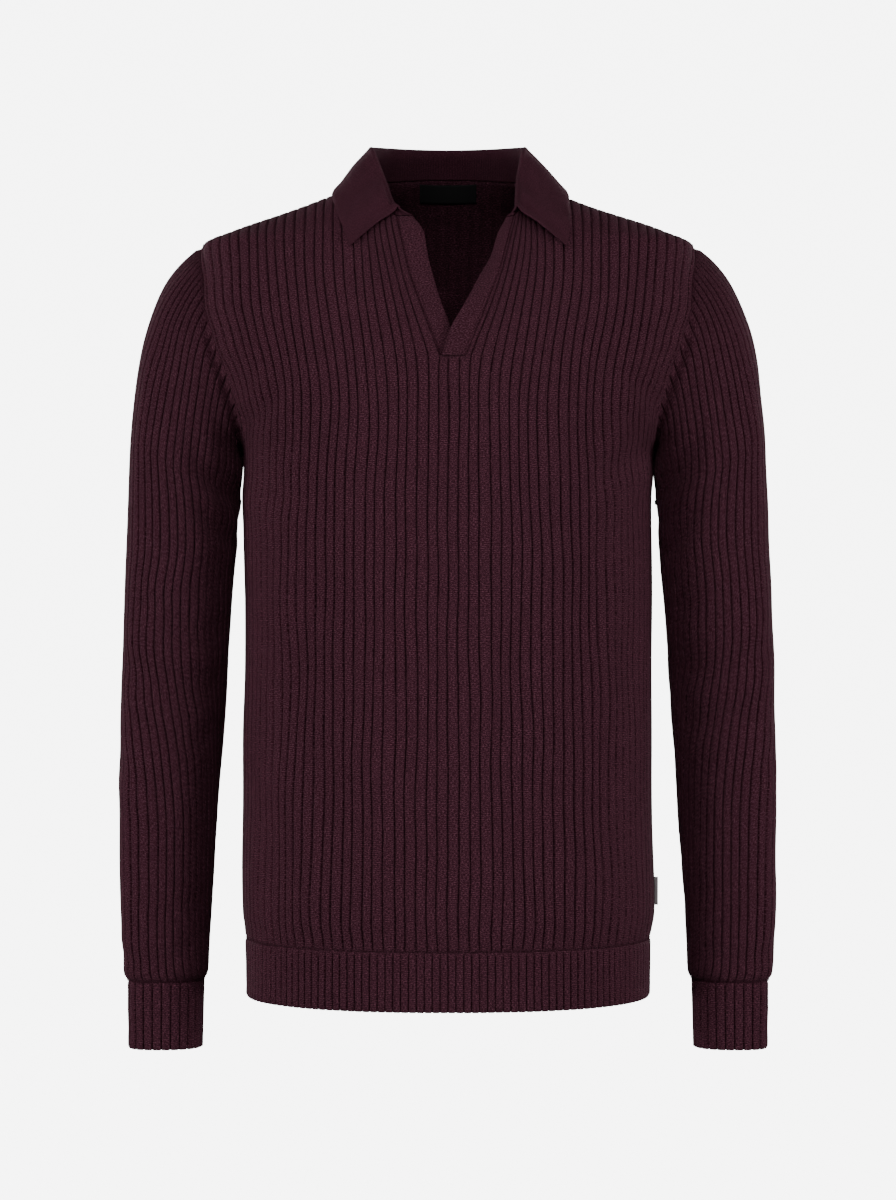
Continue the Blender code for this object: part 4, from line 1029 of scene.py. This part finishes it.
def band_faces(grid, numbers, pitch, relief, flat_axis):
    """A rib band's outer and inner points, its cloth map and its mask of painted shade in the grooves. Its
    first row is its open, rounded edge and its last is sewn.
    """
    outward = normals_of(grid)
    outward[..., 2] = 0.0
    outward = unit(outward)
    if np.sum(outward[:, 3] * (grid[:, 3] - grid.mean(axis=(0, 1)))) < 0:
        outward = -outward
    outward[[0, -1], :, flat_axis] = 0.0
    outward = unit(outward)
    up = grid[..., 2] - grid[:, :1, 2]
    down = grid[:, -1:, 2] - grid[..., 2]
    ribs = rib_height(numbers)
    columns = np.arange(len(numbers))
    to_side = np.minimum(columns, columns[::-1])[:, None] / len(PROFILE) * pitch
    inside = ease((down + 0.4) / 4.0) * ease((to_side + 0.3) / 3.0)
    near_edge = 1.0 - ease(up / 2.6)
    sink = relief * (1.0 - ribs) * inside * (0.55 + 0.45 * ease(up / 3.0)) + SEAM_SINK * (1.0 - inside)
    sink = sink + 1.1 * near_edge ** 2
    sink = sink + 0.25 * waves(grid[..., 0], grid[..., 2], SEEDS["band"], 20.0, 80.0) * ease(down / 8.0)
    outer = grid - outward * sink[..., None]
    inner = grid - outward * np.maximum(WALL - 1.2 * near_edge, sink + 0.7)[..., None]
    for wall in (outer, inner):
        wall[..., 2] += 0.5 * (1.0 - ribs) * (1.0 - ease(up / 6.0))
    # The last value paints shade into the grooves
    return outer, inner, ((numbers * pitch / 2)[:, None], up), BAND_GROOVE_SHADE * (1.0 - ribs) * inside


def make_hem(name, side, finish):
    """The rib band under one panel."""
    numbers = rib_columns(HEM_RIBS)
    places = np.abs(numbers / HEM_RIBS - 1.0)
    grid = np.stack([read_line(quarter(z, side), places) for z in band_levels(HEM_EDGE, HEM_JOIN)], axis=1)
    grid[numbers < HEM_RIBS, :, 0] *= -1
    grid[..., 1] = side * np.maximum(side * grid[..., 1], SEAM_GAP / 2)
    outer, inner, chart, groove = band_faces(grid, numbers, 2 * PANEL_QUARTER / HEM_RIBS, HEM_RELIEF, 1)
    for wall in (outer, inner):
        wall[[0, -1], :, 1] = side * SEAM_GAP / 2
    return closed_shell(name, outer, inner, chart, finish, groove, numbers)


def make_cuff(name, hand, finish):
    """The rib cuff of one sleeve, sewn to a tube along its inner line."""
    numbers = rib_columns(CUFF_RIBS)
    places = np.abs(numbers / CUFF_RIBS - 1.0)
    rows = []
    for z in band_levels(CUFF_EDGE, CUFF_JOIN):
        outer_x, inner_x, depth = [float(np.interp(-z, -CUFF_FORM[:, 0], CUFF_FORM[:, i])) for i in (1, 2, 3)]
        row = (outer_x, z, inner_x, z, depth, CUFF_SHIFT, 0.0)
        front, back = [read_line(ellipse_half(row, side), places) for side in (FRONT, BACK)]
        rows.append(np.where((numbers <= CUFF_RIBS)[:, None], front, back))
    outer, inner, chart, groove = band_faces(np.stack(rows, axis=1), numbers, CUFF_PITCH, CUFF_RELIEF, 0)
    for wall in (outer, inner):
        wall[0, :, 1] -= SEAM_GAP / 2
        wall[-1, :, 1] += SEAM_GAP / 2
        wall[..., 0] *= hand
    return closed_shell(name, outer, inner, chart, finish, groove, numbers)


# --- Opening bands and collar ---------------------------------------------------------------------------

def make_band(name, hand, slit_edge, finish):
    """The band on one edge of the slit. The wearer's left one crosses over the right one at the foot."""
    shares = np.linspace(0.0, 1.0, BAND_ROWS)
    rows = []
    for share in shares:
        sewn = read_line(slit_edge, [share])[0]
        level = sewn[2] + SEAM_GAP * (1.0 - 3.0 * share)
        free_x, free_back, sewn_back = [float(smooth(level, BANDS[:, 0], BANDS[:, i]))
                                        for i in ((1, 3, 5) if hand < 0 else (2, 4, 6))]
        start = on_body(sewn[0] - hand * 2 * SEAM_GAP, level, FRONT) + (0.0, sewn_back, 0.0)
        free = on_body(free_x, level, FRONT) + (0.0, free_back, 0.0)
        rows.append(start + (free - start) * BAND_ACROSS[:, None])
    grid = np.stack(rows, axis=1)
    outward = normals_of(grid)
    outward *= -1 if outward[..., 1].mean() > 0 else 1
    outward[..., 2] = 0.0
    outward = unit(outward)
    grid += outward * np.abs(outward[..., :1]) * FINE_WALL
    roll = 0.7 * np.sin(np.pi * BAND_ACROSS)[:, None] * ease(shares / 0.08)[None]
    at_edge = 1.0 - ease(np.minimum(BAND_ACROSS, 1.0 - BAND_ACROSS)[:, None] / 0.12)
    outer = grid + outward * (roll - 0.75 * at_edge)[..., None]
    inner = grid - outward * (FINE_WALL - 0.35 * at_edge - roll)[..., None]
    chart = (BAND_ACROSS[:, None] * BAND_WIDTH, lengths_along(grid[0])[None])
    closed = closed_shell(name, outer, inner, chart, finish)
    return closed, (grid - outward * FINE_WALL / 2)[-1, -1], outer[0]


def collar_section(foot, fold, edge, away):
    """The collar's face across one section: up the stand, over the fold and down the leaf."""
    up = np.array([0.0, 0.0, 1.0])
    radius = min(FOLD_RADIUS, 0.45 * max(fold[2] - foot[2], 0.1) + 1.2)
    start = foot - away * FINE_WALL / 2
    turn_in = fold - away * radius - up * radius
    turn_out = lifted(fold + away * radius - up * radius)
    bend = [fold + away * side * 0.7 * radius - up * 0.3 * radius for side in (-1, 1)]
    leaf = [lifted(turn_out + (edge - turn_out) * share + away * swell) for share, swell in LEAF_SWELL]
    return np.array([start, (start + turn_in) / 2, turn_in, bend[0], fold, bend[1], turn_out, *leaf])


def collar_lines(share, hand):
    """The collar's fold and its leaf's outer edge at a share of the way from the back to the front."""
    behind = COLLAR[1] * (-1, -1, -1, 1, 1, -1, -1, 1, 1)
    table = np.vstack([behind, COLLAR])
    x_column = 1 if hand < 0 else 2
    return [np.array([float(smooth(share, table[:, 0], table[:, i + more])) for i in (x_column, 3, 4)])
            * (hand, 1, 1) for more in (0, 4)]


def section_curve(section):
    """A smooth line up the stand, round the fold and down the leaf."""
    along = lengths_along(section)
    inner_bend, outer_bend = along[2], along[6]
    bend = inner_bend + (outer_bend - inner_bend) * np.linspace(0.0, 1.0, 11)[1:]
    leaf = outer_bend + (along[-1] - outer_bend) * LEAF_SAMPLES
    return read_curve(section, np.concatenate([inner_bend * STAND_SAMPLES, bend, leaf]) / along[-1])


def collar_half(neck, band_top, hand):
    """The collar's sections from the middle of the back to its front edge, on one hand."""
    shares = np.concatenate([np.linspace(0.0, 0.90, 37), np.linspace(0.915, 1.0, 9)])
    shares[-3] = NECK_END + 0.6 * (1.0 - NECK_END)
    half = []
    for share in shares:
        fold, edge = collar_lines(share, hand)
        foot = read_line(neck, [min(share / NECK_END, 1.0)])[0]
        if share > NECK_END:
            foot = foot + (band_top - foot) * (share - NECK_END) / (1.0 - NECK_END)
        foot = foot + (0.0, 0.0, COLLAR_LIFT)
        away = unit((edge - foot) * (1.0, 1.0, 0.0))
        half.append(section_curve(collar_section(foot, fold, edge, away)))
    return np.array(half)


def make_collar(necks, band_tops, finish):
    """The collar, one folded piece: a stand on the neck edge and a leaf with pointed front corners."""
    right, left = [collar_half(necks[hand], band_tops[hand], hand) for hand in (-1, 1)]
    grid = np.concatenate([right[::-1], left[1:]])
    outward = normals_of(grid)
    outward *= -1 if outward[len(right) - 1, -1, 1] < 0 else 1
    outward[:, 0, 2] = 0.0
    outward = unit(outward)
    along = column_lengths(grid)
    round_neck = lengths_along(grid[:, grid.shape[1] // 2])[:, None]
    to_front = np.minimum(round_neck, round_neck[-1] - round_neck)
    to_edge = along[:, -1:] - along
    rim = np.clip((1.0 - ease(to_edge / 2.6)) + (1.0 - ease(to_front / 2.2)), 0.0, 1.0)
    leaf = ease((along - along[:, -1:] * 0.55) / 10.0)
    swell = 0.5 * waves(round_neck, along, SEEDS["collar"], 30.0, 90.0) * leaf
    swell += 0.45 * np.exp(-((to_edge - 5.0) / 2.2) ** 2) * leaf
    from_front = ease(to_front / 6.0)
    outer = grid + outward * (np.maximum(swell, -0.5) * from_front - 0.65 * rim)[..., None]
    inner = grid - outward * (FINE_WALL - 0.45 * rim - np.maximum(swell, 0.0) * from_front)[..., None]
    in_stand = 1.0 - ease((along - 0.22 * along[:, -1:]) / 6.0)
    chart = (round_neck, along)
    # The stand takes painted shade, in fine upright ribs
    return closed_shell("collar", outer, inner, chart, finish, STAND_SHADE * in_stand)


def sheet_wall(name, grid, depth, finish):
    """A thin closed piece from the points of its face, with its thickness towards the front."""
    chart = (lengths_along(grid[:, 0])[:, None], lengths_along(grid[0])[None])
    return closed_shell(name, grid, grid - depth * np.array([0.0, 1.0, 0.0]), chart, finish)


def make_label(finish):
    """A small bare woven label on the inside of the back, under the neck seam."""
    heights = np.linspace(LABEL_TOP - LABEL_HEIGHT, LABEL_TOP, 13)
    grid = np.array([[on_body(x, z, BACK) - (0.0, LABEL_LIFT, 0.0) for z in heights]
                     for x in np.linspace(-LABEL_WIDTH / 2, LABEL_WIDTH / 2, 33)])
    grid[..., 1] -= 0.5 * np.sin(np.pi * (heights - heights[0]) / LABEL_HEIGHT)[None]
    return sheet_wall("neck_label", grid, LABEL_THICK, finish)


def make_tab(finish):
    """A bare folded tab that stands out of the wearer's left side seam."""
    start = float(body_section(TAB_TOP - TAB_HEIGHT / 2, FRONT)[0]) - 0.9
    reach = np.array((0.0, 0.2, 0.4, 0.6, 0.8, 0.93, 1.0)) * TAB_REACH
    round_off = np.maximum(reach - TAB_REACH + 0.8, 0.0) / 0.8
    half = TAB_HALF * np.sqrt(np.clip(1.0 - round_off ** 2, 0.02, 1.0))
    heights = np.linspace(TAB_TOP - TAB_HEIGHT, TAB_TOP, 15)
    bow = 0.35 * np.sin(np.linspace(0.0, math.tau, 15))
    grid = np.array([[(start + x, y + b * x / TAB_REACH, z) for z, b in zip(heights, bow)]
                     for x, y in zip(reach, half)])
    return sheet_wall("side_tab", grid, (2 * half)[:, None, None], finish)


# --- Materials ------------------------------------------------------------------------------------------

def add(tree, kind, inputs=None, **settings):
    """A new node with its settings. inputs gives its sockets plain values or other nodes' outputs."""
    node = tree.nodes.new(kind)
    for label, value in settings.items():
        setattr(node, label, value)
    for socket, value in (inputs or {}).items():
        into = node.inputs[socket]
        if isinstance(value, bpy.types.NodeSocket):
            tree.links.new(value, into)
        else:
            into.default_value = (*value, 1.0) if into.type == "RGBA" else value
    return node


def maths(tree, operation, *values, clamp=False):
    """A math node's output."""
    inputs = dict(enumerate(values))
    return add(tree, "ShaderNodeMath", inputs, operation=operation, use_clamp=clamp).outputs[0]


def rounded(tree, value, steepness):
    """1 where a value is 0, and less by its square."""
    square = maths(tree, "MULTIPLY", value, value)
    return maths(tree, "SUBTRACT", 1.0, maths(tree, "MULTIPLY", square, steepness))


def vectors(tree, operation, first, second):
    """A vector math node's output."""
    socket = "Scale" if operation == "SCALE" else 1
    return add(tree, "ShaderNodeVectorMath", {0: first, socket: second}, operation=operation).outputs[0]


def noise(tree, vector, scale, detail=2.0, output="Fac"):
    """A noise texture's value or colour."""
    inputs = {"Vector": vector, "Scale": scale, "Detail": detail}
    return add(tree, "ShaderNodeTexNoise", inputs).outputs[output]


def mixed(tree, share, first, second, blend="MIX"):
    """A colour mix."""
    return add(tree, "ShaderNodeMix", {0: share, 6: first, 7: second}, data_type="RGBA",
               blend_type=blend).outputs[2]


def new_group(name, outputs, inputs):
    """A shared shader group, and its input and output nodes. Sockets are given as label and kind."""
    group = bpy.data.node_groups.new(name, "ShaderNodeTree")
    for way, sockets in (("INPUT", inputs), ("OUTPUT", outputs)):
        for label, kind in sockets.items():
            group.interface.new_socket(name=label, in_out=way, socket_type="NodeSocket" + kind)
    return group, group.nodes.new("NodeGroupInput").outputs, group.nodes.new("NodeGroupOutput").inputs


def stitch_group():
    """Rows of V-shaped knit stitches on a cloth map: their height, and a mask of the gaps between them."""
    group, given, made = new_group("knit_stitch", {"Height": "Float", "Gap": "Float"},
                                   {"Cloth": "Vector", "Wale": "Float", "Course": "Float", "Slant": "Float"})
    apart = add(group, "ShaderNodeSeparateXYZ", {0: given["Cloth"]})
    wale = maths(group, "DIVIDE", apart.outputs[0], given["Wale"])
    aside = maths(group, "ABSOLUTE", maths(group, "SUBTRACT", maths(group, "FRACT", wale), 0.5))
    course = maths(group, "DIVIDE", apart.outputs[1], given["Course"])
    lean = maths(group, "MULTIPLY", aside, given["Slant"])
    loop = maths(group, "SUBTRACT", maths(group, "FRACT", maths(group, "ADD", course, lean)), 0.5)
    leg = maths(group, "SUBTRACT", maths(group, "MULTIPLY", aside, 2.0), 0.5)
    height = maths(group, "MULTIPLY", rounded(group, loop, 4.0), rounded(group, leg, 3.4), clamp=True)
    filled = maths(group, "POWER", height, 0.8)
    group.links.new(height, made["Height"])
    group.links.new(maths(group, "SUBTRACT", 1.0, filled, clamp=True), made["Gap"])
    return group


def melange_group():
    """Yarn spun from several dyed fibres: specks of a lighter and of a darker tone along the stitches."""
    group, given, made = new_group("melange_yarn", {"Color": "Color"},
                                   {"Cloth": "Vector", "Base": "Color", "Light": "Color", "Dark": "Color"})
    fine = noise(group, vectors(group, "MULTIPLY", given["Cloth"], (0.7, 1.25, 1.0)), 10.0, 3.0)
    light = maths(group, "MULTIPLY", maths(group, "SUBTRACT", fine, 0.50), 6.0, clamp=True)
    dark = maths(group, "MULTIPLY", maths(group, "SUBTRACT", 0.48, fine), 6.0, clamp=True)
    tone = mixed(group, dark, mixed(group, light, given["Base"], given["Light"]), given["Dark"])
    broad = noise(group, given["Cloth"], 0.8)
    shade = maths(group, "ADD", 0.86, maths(group, "MULTIPLY", broad, 0.28))
    group.links.new(vectors(group, "SCALE", tone, shade), made["Color"])
    return group


def finish_of(name, roughness):
    """A new material, its tree and its Principled BSDF."""
    made = bpy.data.materials.new(name)
    made.use_nodes = True
    shader = made.node_tree.nodes["Principled BSDF"]
    shader.inputs["Roughness"].default_value = roughness
    shader.inputs["Specular IOR Level"].default_value = 0.06
    return made, made.node_tree, shader


def bumped(tree, shader, height, distance):
    """Gives a material small relief."""
    bump = add(tree, "ShaderNodeBump", {"Strength": 1.0, "Distance": distance, "Height": height})
    tree.links.new(bump.outputs["Normal"], shader.inputs["Normal"])


def broken_groove_shade(tree, cloth):
    """Painted shade down a groove, broken into uneven dark steps."""
    ladder = vectors(tree, "MULTIPLY", cloth, (0.6, 5.5, 1.0))
    steps = maths(tree, "ADD", noise(tree, ladder, 1.0, 3.0), noise(tree, cloth, 0.35, 1.0))
    return maths(tree, "MULTIPLY", maths(tree, "SUBTRACT", steps, 0.62), 2.6, clamp=True)


def upright_ribs(tree, cloth, pitch):
    """Fine upright ribs across a cloth map."""
    apart = add(tree, "ShaderNodeSeparateXYZ", {0: cloth})
    swing = maths(tree, "SINE", maths(tree, "MULTIPLY", apart.outputs[0], math.tau / pitch))
    return maths(tree, "ADD", maths(tree, "MULTIPLY", swing, 0.35), 0.62)


def knit(name, tones, wale, course, groups, slant=0.9, relief=0.0005, fine_rib=0.0):
    """A knitted cloth. Sizes of a stitch are in centimetres, as on the cloth map. Where the groove mask is
    set, shade is painted into the colour, broken into uneven steps or, with a size for fine_rib, in fine
    upright ribs."""
    made, tree, shader = finish_of(name, 0.88)
    shader.inputs["Sheen Weight"].default_value = 0.03
    shader.inputs["Sheen Roughness"].default_value = 0.45
    shader.inputs["Sheen Tint"].default_value = (*SHEEN_TINT, 1.0)
    cloth = add(tree, "ShaderNodeUVMap", uv_map="cloth").outputs[0]
    nudge = vectors(tree, "SCALE", noise(tree, cloth, 1.6, 1.0, "Color"), STITCH_DRIFT)
    stitches = add(tree, "ShaderNodeGroup", node_tree=groups["stitch"])
    for label, value in (("Wale", wale), ("Course", course), ("Slant", slant)):
        stitches.inputs[label].default_value = value
    tree.links.new(vectors(tree, "ADD", cloth, nudge), stitches.inputs["Cloth"])
    yarn = add(tree, "ShaderNodeGroup", dict(zip(("Base", "Light", "Dark"), tones)) | {"Cloth": cloth},
               node_tree=groups["melange"])
    gap = maths(tree, "MULTIPLY", stitches.outputs["Gap"], GAP_DEPTH)
    colour = mixed(tree, gap, yarn.outputs["Color"], GAP_TINT, "MULTIPLY")
    # Painted shade: the groove mask darkens the colour in grooves and on the stand
    deep = add(tree, "ShaderNodeAttribute", attribute_name="groove").outputs["Fac"]
    broken = upright_ribs(tree, cloth, fine_rib) if fine_rib else broken_groove_shade(tree, cloth)
    soft = maths(tree, "MULTIPLY", maths(tree, "MULTIPLY", deep, GROOVE_SHADE_STRENGTH), broken)
    tree.links.new(mixed(tree, soft, colour, GROOVE_SHADE_TINT, "MULTIPLY"), shader.inputs["Base Color"])
    bumped(tree, shader, stitches.outputs["Height"], relief)
    return made


def plain_cloth(name, tones, weave, relief):
    """A plain woven cloth with a fine grain, from a noise stretched along its threads."""
    made, tree, shader = finish_of(name, 0.7)
    cloth = add(tree, "ShaderNodeUVMap", uv_map="cloth").outputs[0]
    grain = noise(tree, vectors(tree, "MULTIPLY", cloth, (0.25, 1.0, 1.0)), weave)
    tree.links.new(mixed(tree, grain, *tones), shader.inputs["Base Color"])
    bumped(tree, shader, grain, relief)
    return made


def thread_finish():
    """The sewing yarn, in the cloth's own colour."""
    made, tree, shader = finish_of("seam_yarn", 0.85)
    grain = noise(tree, add(tree, "ShaderNodeTexCoord").outputs["Object"], 900.0, 1.0)
    tree.links.new(mixed(tree, grain, WINE[2], WINE[0]), shader.inputs["Base Color"])
    return made


def backdrop_finish():
    """The pale studio floor and wall. A little of its own light keeps it even."""
    made, _, shader = finish_of("studio_paper", 0.95)
    shader.inputs["Base Color"].default_value = (*PAPER, 1.0)
    shader.inputs["Emission Color"].default_value = (*WHITE, 1.0)
    shader.inputs["Emission Strength"].default_value = STUDIO_GLOW
    shader.inputs["Specular IOR Level"].default_value = 0.0
    return made


# --- Stitches along the seams ---------------------------------------------------------------------------

def stitch_maker(finish):
    """Geometry nodes that set one stitch after another along lines. Each lies across its seam."""
    tree = bpy.data.node_groups.new("seam_stitches", "GeometryNodeTree")
    sockets = (("Geometry", "Geometry"), ("Spacing", "Float"), ("Length", "Float"), ("Thickness", "Float"),
               ("Unevenness", "Float"))
    for label, kind in sockets:
        tree.interface.new_socket(name=label, in_out="INPUT", socket_type="NodeSocket" + kind)
    tree.interface.new_socket(name="Geometry", in_out="OUTPUT", socket_type="NodeSocketGeometry")
    given = add(tree, "NodeGroupInput").outputs
    lines = add(tree, "GeometryNodeMeshToCurve", {"Mesh": given["Geometry"]})
    spaced = {"Curve": lines.outputs["Curve"], "Length": given["Spacing"]}
    along = add(tree, "GeometryNodeCurveToPoints", spaced, mode="LENGTH")
    bead = add(tree, "GeometryNodeMeshUVSphere", {"Segments": 7, "Rings": 5, "Radius": 0.5})
    size = add(tree, "ShaderNodeCombineXYZ", {"X": given["Length"], "Y": given["Thickness"],
                                              "Z": given["Thickness"]})
    low, high = [maths(tree, way, 1.0, given["Unevenness"]) for way in ("SUBTRACT", "ADD")]
    vary = add(tree, "FunctionNodeRandomValue", {"Seed": SEEDS["stitches"], 2: low, 3: high})
    scaled = vectors(tree, "SCALE", size.outputs[0], vary.outputs[1])
    made = add(tree, "GeometryNodeInstanceOnPoints", {
        "Points": along.outputs["Points"], "Instance": bead.outputs["Mesh"],
        "Rotation": along.outputs["Rotation"], "Scale": scaled})
    made = add(tree, "GeometryNodeRealizeInstances", {0: made.outputs[0]})
    made = add(tree, "GeometryNodeSetShadeSmooth", {0: made.outputs[0]})
    made = add(tree, "GeometryNodeSetMaterial", {0: made.outputs[0], "Material": finish})
    add(tree, "NodeGroupOutput", {0: made.outputs[0]})
    return tree


def sew(name, lines, finish, sizes):
    """Stitches along lines of points, as a plain mesh."""
    edges = []
    start = 0
    for line in lines:
        edges += [(start + i, start + i + 1) for i in range(len(line) - 1)]
        start += len(line)
    mesh = bpy.data.meshes.new(name + "_lines")
    mesh.from_pydata((np.concatenate(lines) * MM).tolist(), edges, [])
    maker = new_object(name + "_lines", mesh)
    changed = maker.modifiers.new("stitches", "NODES")
    tree = stitch_maker(finish)
    sockets = {item.name: item.identifier for item in tree.interface.items_tree if item.in_out == "INPUT"}
    changed.node_group = tree
    for label, value in sizes.items():
        changed[sockets[label]] = value
    seen = bpy.context.evaluated_depsgraph_get()
    sewn = bpy.data.meshes.new_from_object(maker.evaluated_get(seen))
    maker.modifiers.clear()
    bpy.data.objects.remove(maker)
    sewn.name = name
    piece = new_object(name, sewn)
    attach(piece, "root")


# --- Studio ---------------------------------------------------------------------------------------------

def make_studio():
    """A pale floor that curves up into a wall all round."""
    profile = [(0.0, FLOOR_Z), (1.2, FLOOR_Z), (FLOOR_RADIUS, FLOOR_Z)]
    profile += [(FLOOR_RADIUS + BEND_RADIUS * math.sin(a), FLOOR_Z + BEND_RADIUS - BEND_RADIUS * math.cos(a))
                for a in np.linspace(0.0, math.pi / 2, 13)[1:]]
    profile.append((FLOOR_RADIUS + BEND_RADIUS, WALL_TOP))
    turns = np.linspace(0.0, math.tau, STUDIO_TURNS, endpoint=False)
    points = [(r * math.cos(t), r * math.sin(t), z) for r, z in profile for t in turns]
    rings = np.arange(len(points)).reshape(len(profile), STUDIO_TURNS)
    after = np.roll(rings, -1, axis=1)
    faces = np.stack([rings[:-1], after[:-1], after[1:], rings[1:]], axis=-1).reshape(-1, 4).tolist()
    mesh = bpy.data.meshes.new("studio")
    mesh.from_pydata(points, [], faces)
    mesh.materials.append(backdrop_finish())
    mesh.shade_smooth()
    studio = new_object("studio", mesh)
    studio.visible_shadow = False
    studio.visible_diffuse = False
    studio.visible_glossy = False


def add_lamp(name, place, size, power):
    """A soft square lamp that points at the sweater."""
    light = bpy.data.lights.new(name, "AREA")
    light.size = size
    light.energy = power
    lamp = new_object(name, light)
    lamp.location = place
    lamp.rotation_euler = (Vector(LAMP_TARGET) - Vector(place)).to_track_quat("-Z", "Y").to_euler()
    lamp.visible_camera = False


def make_lights():
    """Soft studio light from both sides, the front and behind, and an even sky."""
    for lamp in LAMPS:
        add_lamp(*lamp)
    world = bpy.data.worlds.new("studio_sky")
    world.use_nodes = True
    sky = world.node_tree.nodes["Background"]
    sky.inputs["Color"].default_value = (*WHITE, 1.0)
    sky.inputs["Strength"].default_value = SKY
    bpy.context.scene.world = world


def make_camera():
    """The photograph's view: level, straight on, 2.5 m in front."""
    lens = bpy.data.cameras.new("camera")
    lens.sensor_fit = "VERTICAL"
    lens.sensor_height = 36.0
    lens.lens = LENS
    camera = new_object("camera", lens)
    camera.location = CAMERA_PLACE
    camera.rotation_euler = (math.pi / 2, 0.0, 0.0)
    bpy.context.scene.camera = camera


# --- The sweater ----------------------------------------------------------------------------------------

def make_finishes():
    """Every cloth's material."""
    groups = {"stitch": stitch_group(), "melange": melange_group()}
    return {
        "rib": knit("wide_rib_knit", WINE, 0.169, 0.16, groups),
        "fine": knit("fine_knit", COLLAR_WINE, 0.10, 0.105, groups, slant=0.5, relief=0.0003, fine_rib=0.26),
        "band": knit("band_knit", WINE, 0.10, 0.105, groups, slant=0.35, relief=0.0004),
        "label": plain_cloth("label_satin", LABEL_TONES, 30.0, 0.00006),
        "tab": plain_cloth("tab_tape", TAB_TONES, 26.0, 0.0001),
        "thread": thread_finish(),
    }


def panel_lines(panel):
    """The lines of a panel that stitches follow: its hem, sides and shoulders."""
    outer, numbers = panel["outer"], panel["numbers"]
    shoulders = [outer[panel["on_shoulder"] & half, -1] for half in (numbers < 0, numbers > 0)]
    return [outer[:, 0], outer[0, :LOW_ROWS], outer[-1, :LOW_ROWS], *shoulders]


def main():
    """Makes the sweater's looks, the studio and the camera."""
    finishes = make_finishes()
    rib = finishes["rib"]
    front = make_panel("front", FRONT, rib)
    back = make_panel("back", BACK, rib)
    hem_front = make_hem("hem_front", FRONT, rib)
    hem_back = make_hem("hem_back", BACK, rib)
    lines = []
    slits, necks = {}, {}
    for name, hand in SIDES.items():
        front_hole, front_neck, slits[hand] = panel_edges(front, FRONT, hand)
        back_hole, back_neck, _ = panel_edges(back, BACK, hand)
        necks[hand] = np.concatenate([back_neck, front_neck[::-1]])
        holes = {FRONT: front_hole, BACK: back_hole}
        sleeve, inner_line, cuff_line = make_sleeve(f"sleeve_{name}", hand, holes, rib)
        make_cuff(f"cuff_{name}", hand, rib)
        lines += [front_hole[0], back_hole[0], inner_line, cuff_line]
    bands, tops = [], {}
    for name, hand in SIDES.items():
        band, tops[hand], sewn = make_band(f"v_band_{name}", hand, slits[hand], finishes["band"])
        bands.append(band)
        lines.append(sewn)
    collar = make_collar(necks, tops, finishes["fine"])
    label = make_label(finishes["label"])
    make_tab(finishes["tab"])
    lines += panel_lines(front) + panel_lines(back)
    sew("seam_stitches", [line for line in lines if len(line) > 1], finishes["thread"], STITCHES)
    make_studio()
    make_lights()
    make_camera()


main()
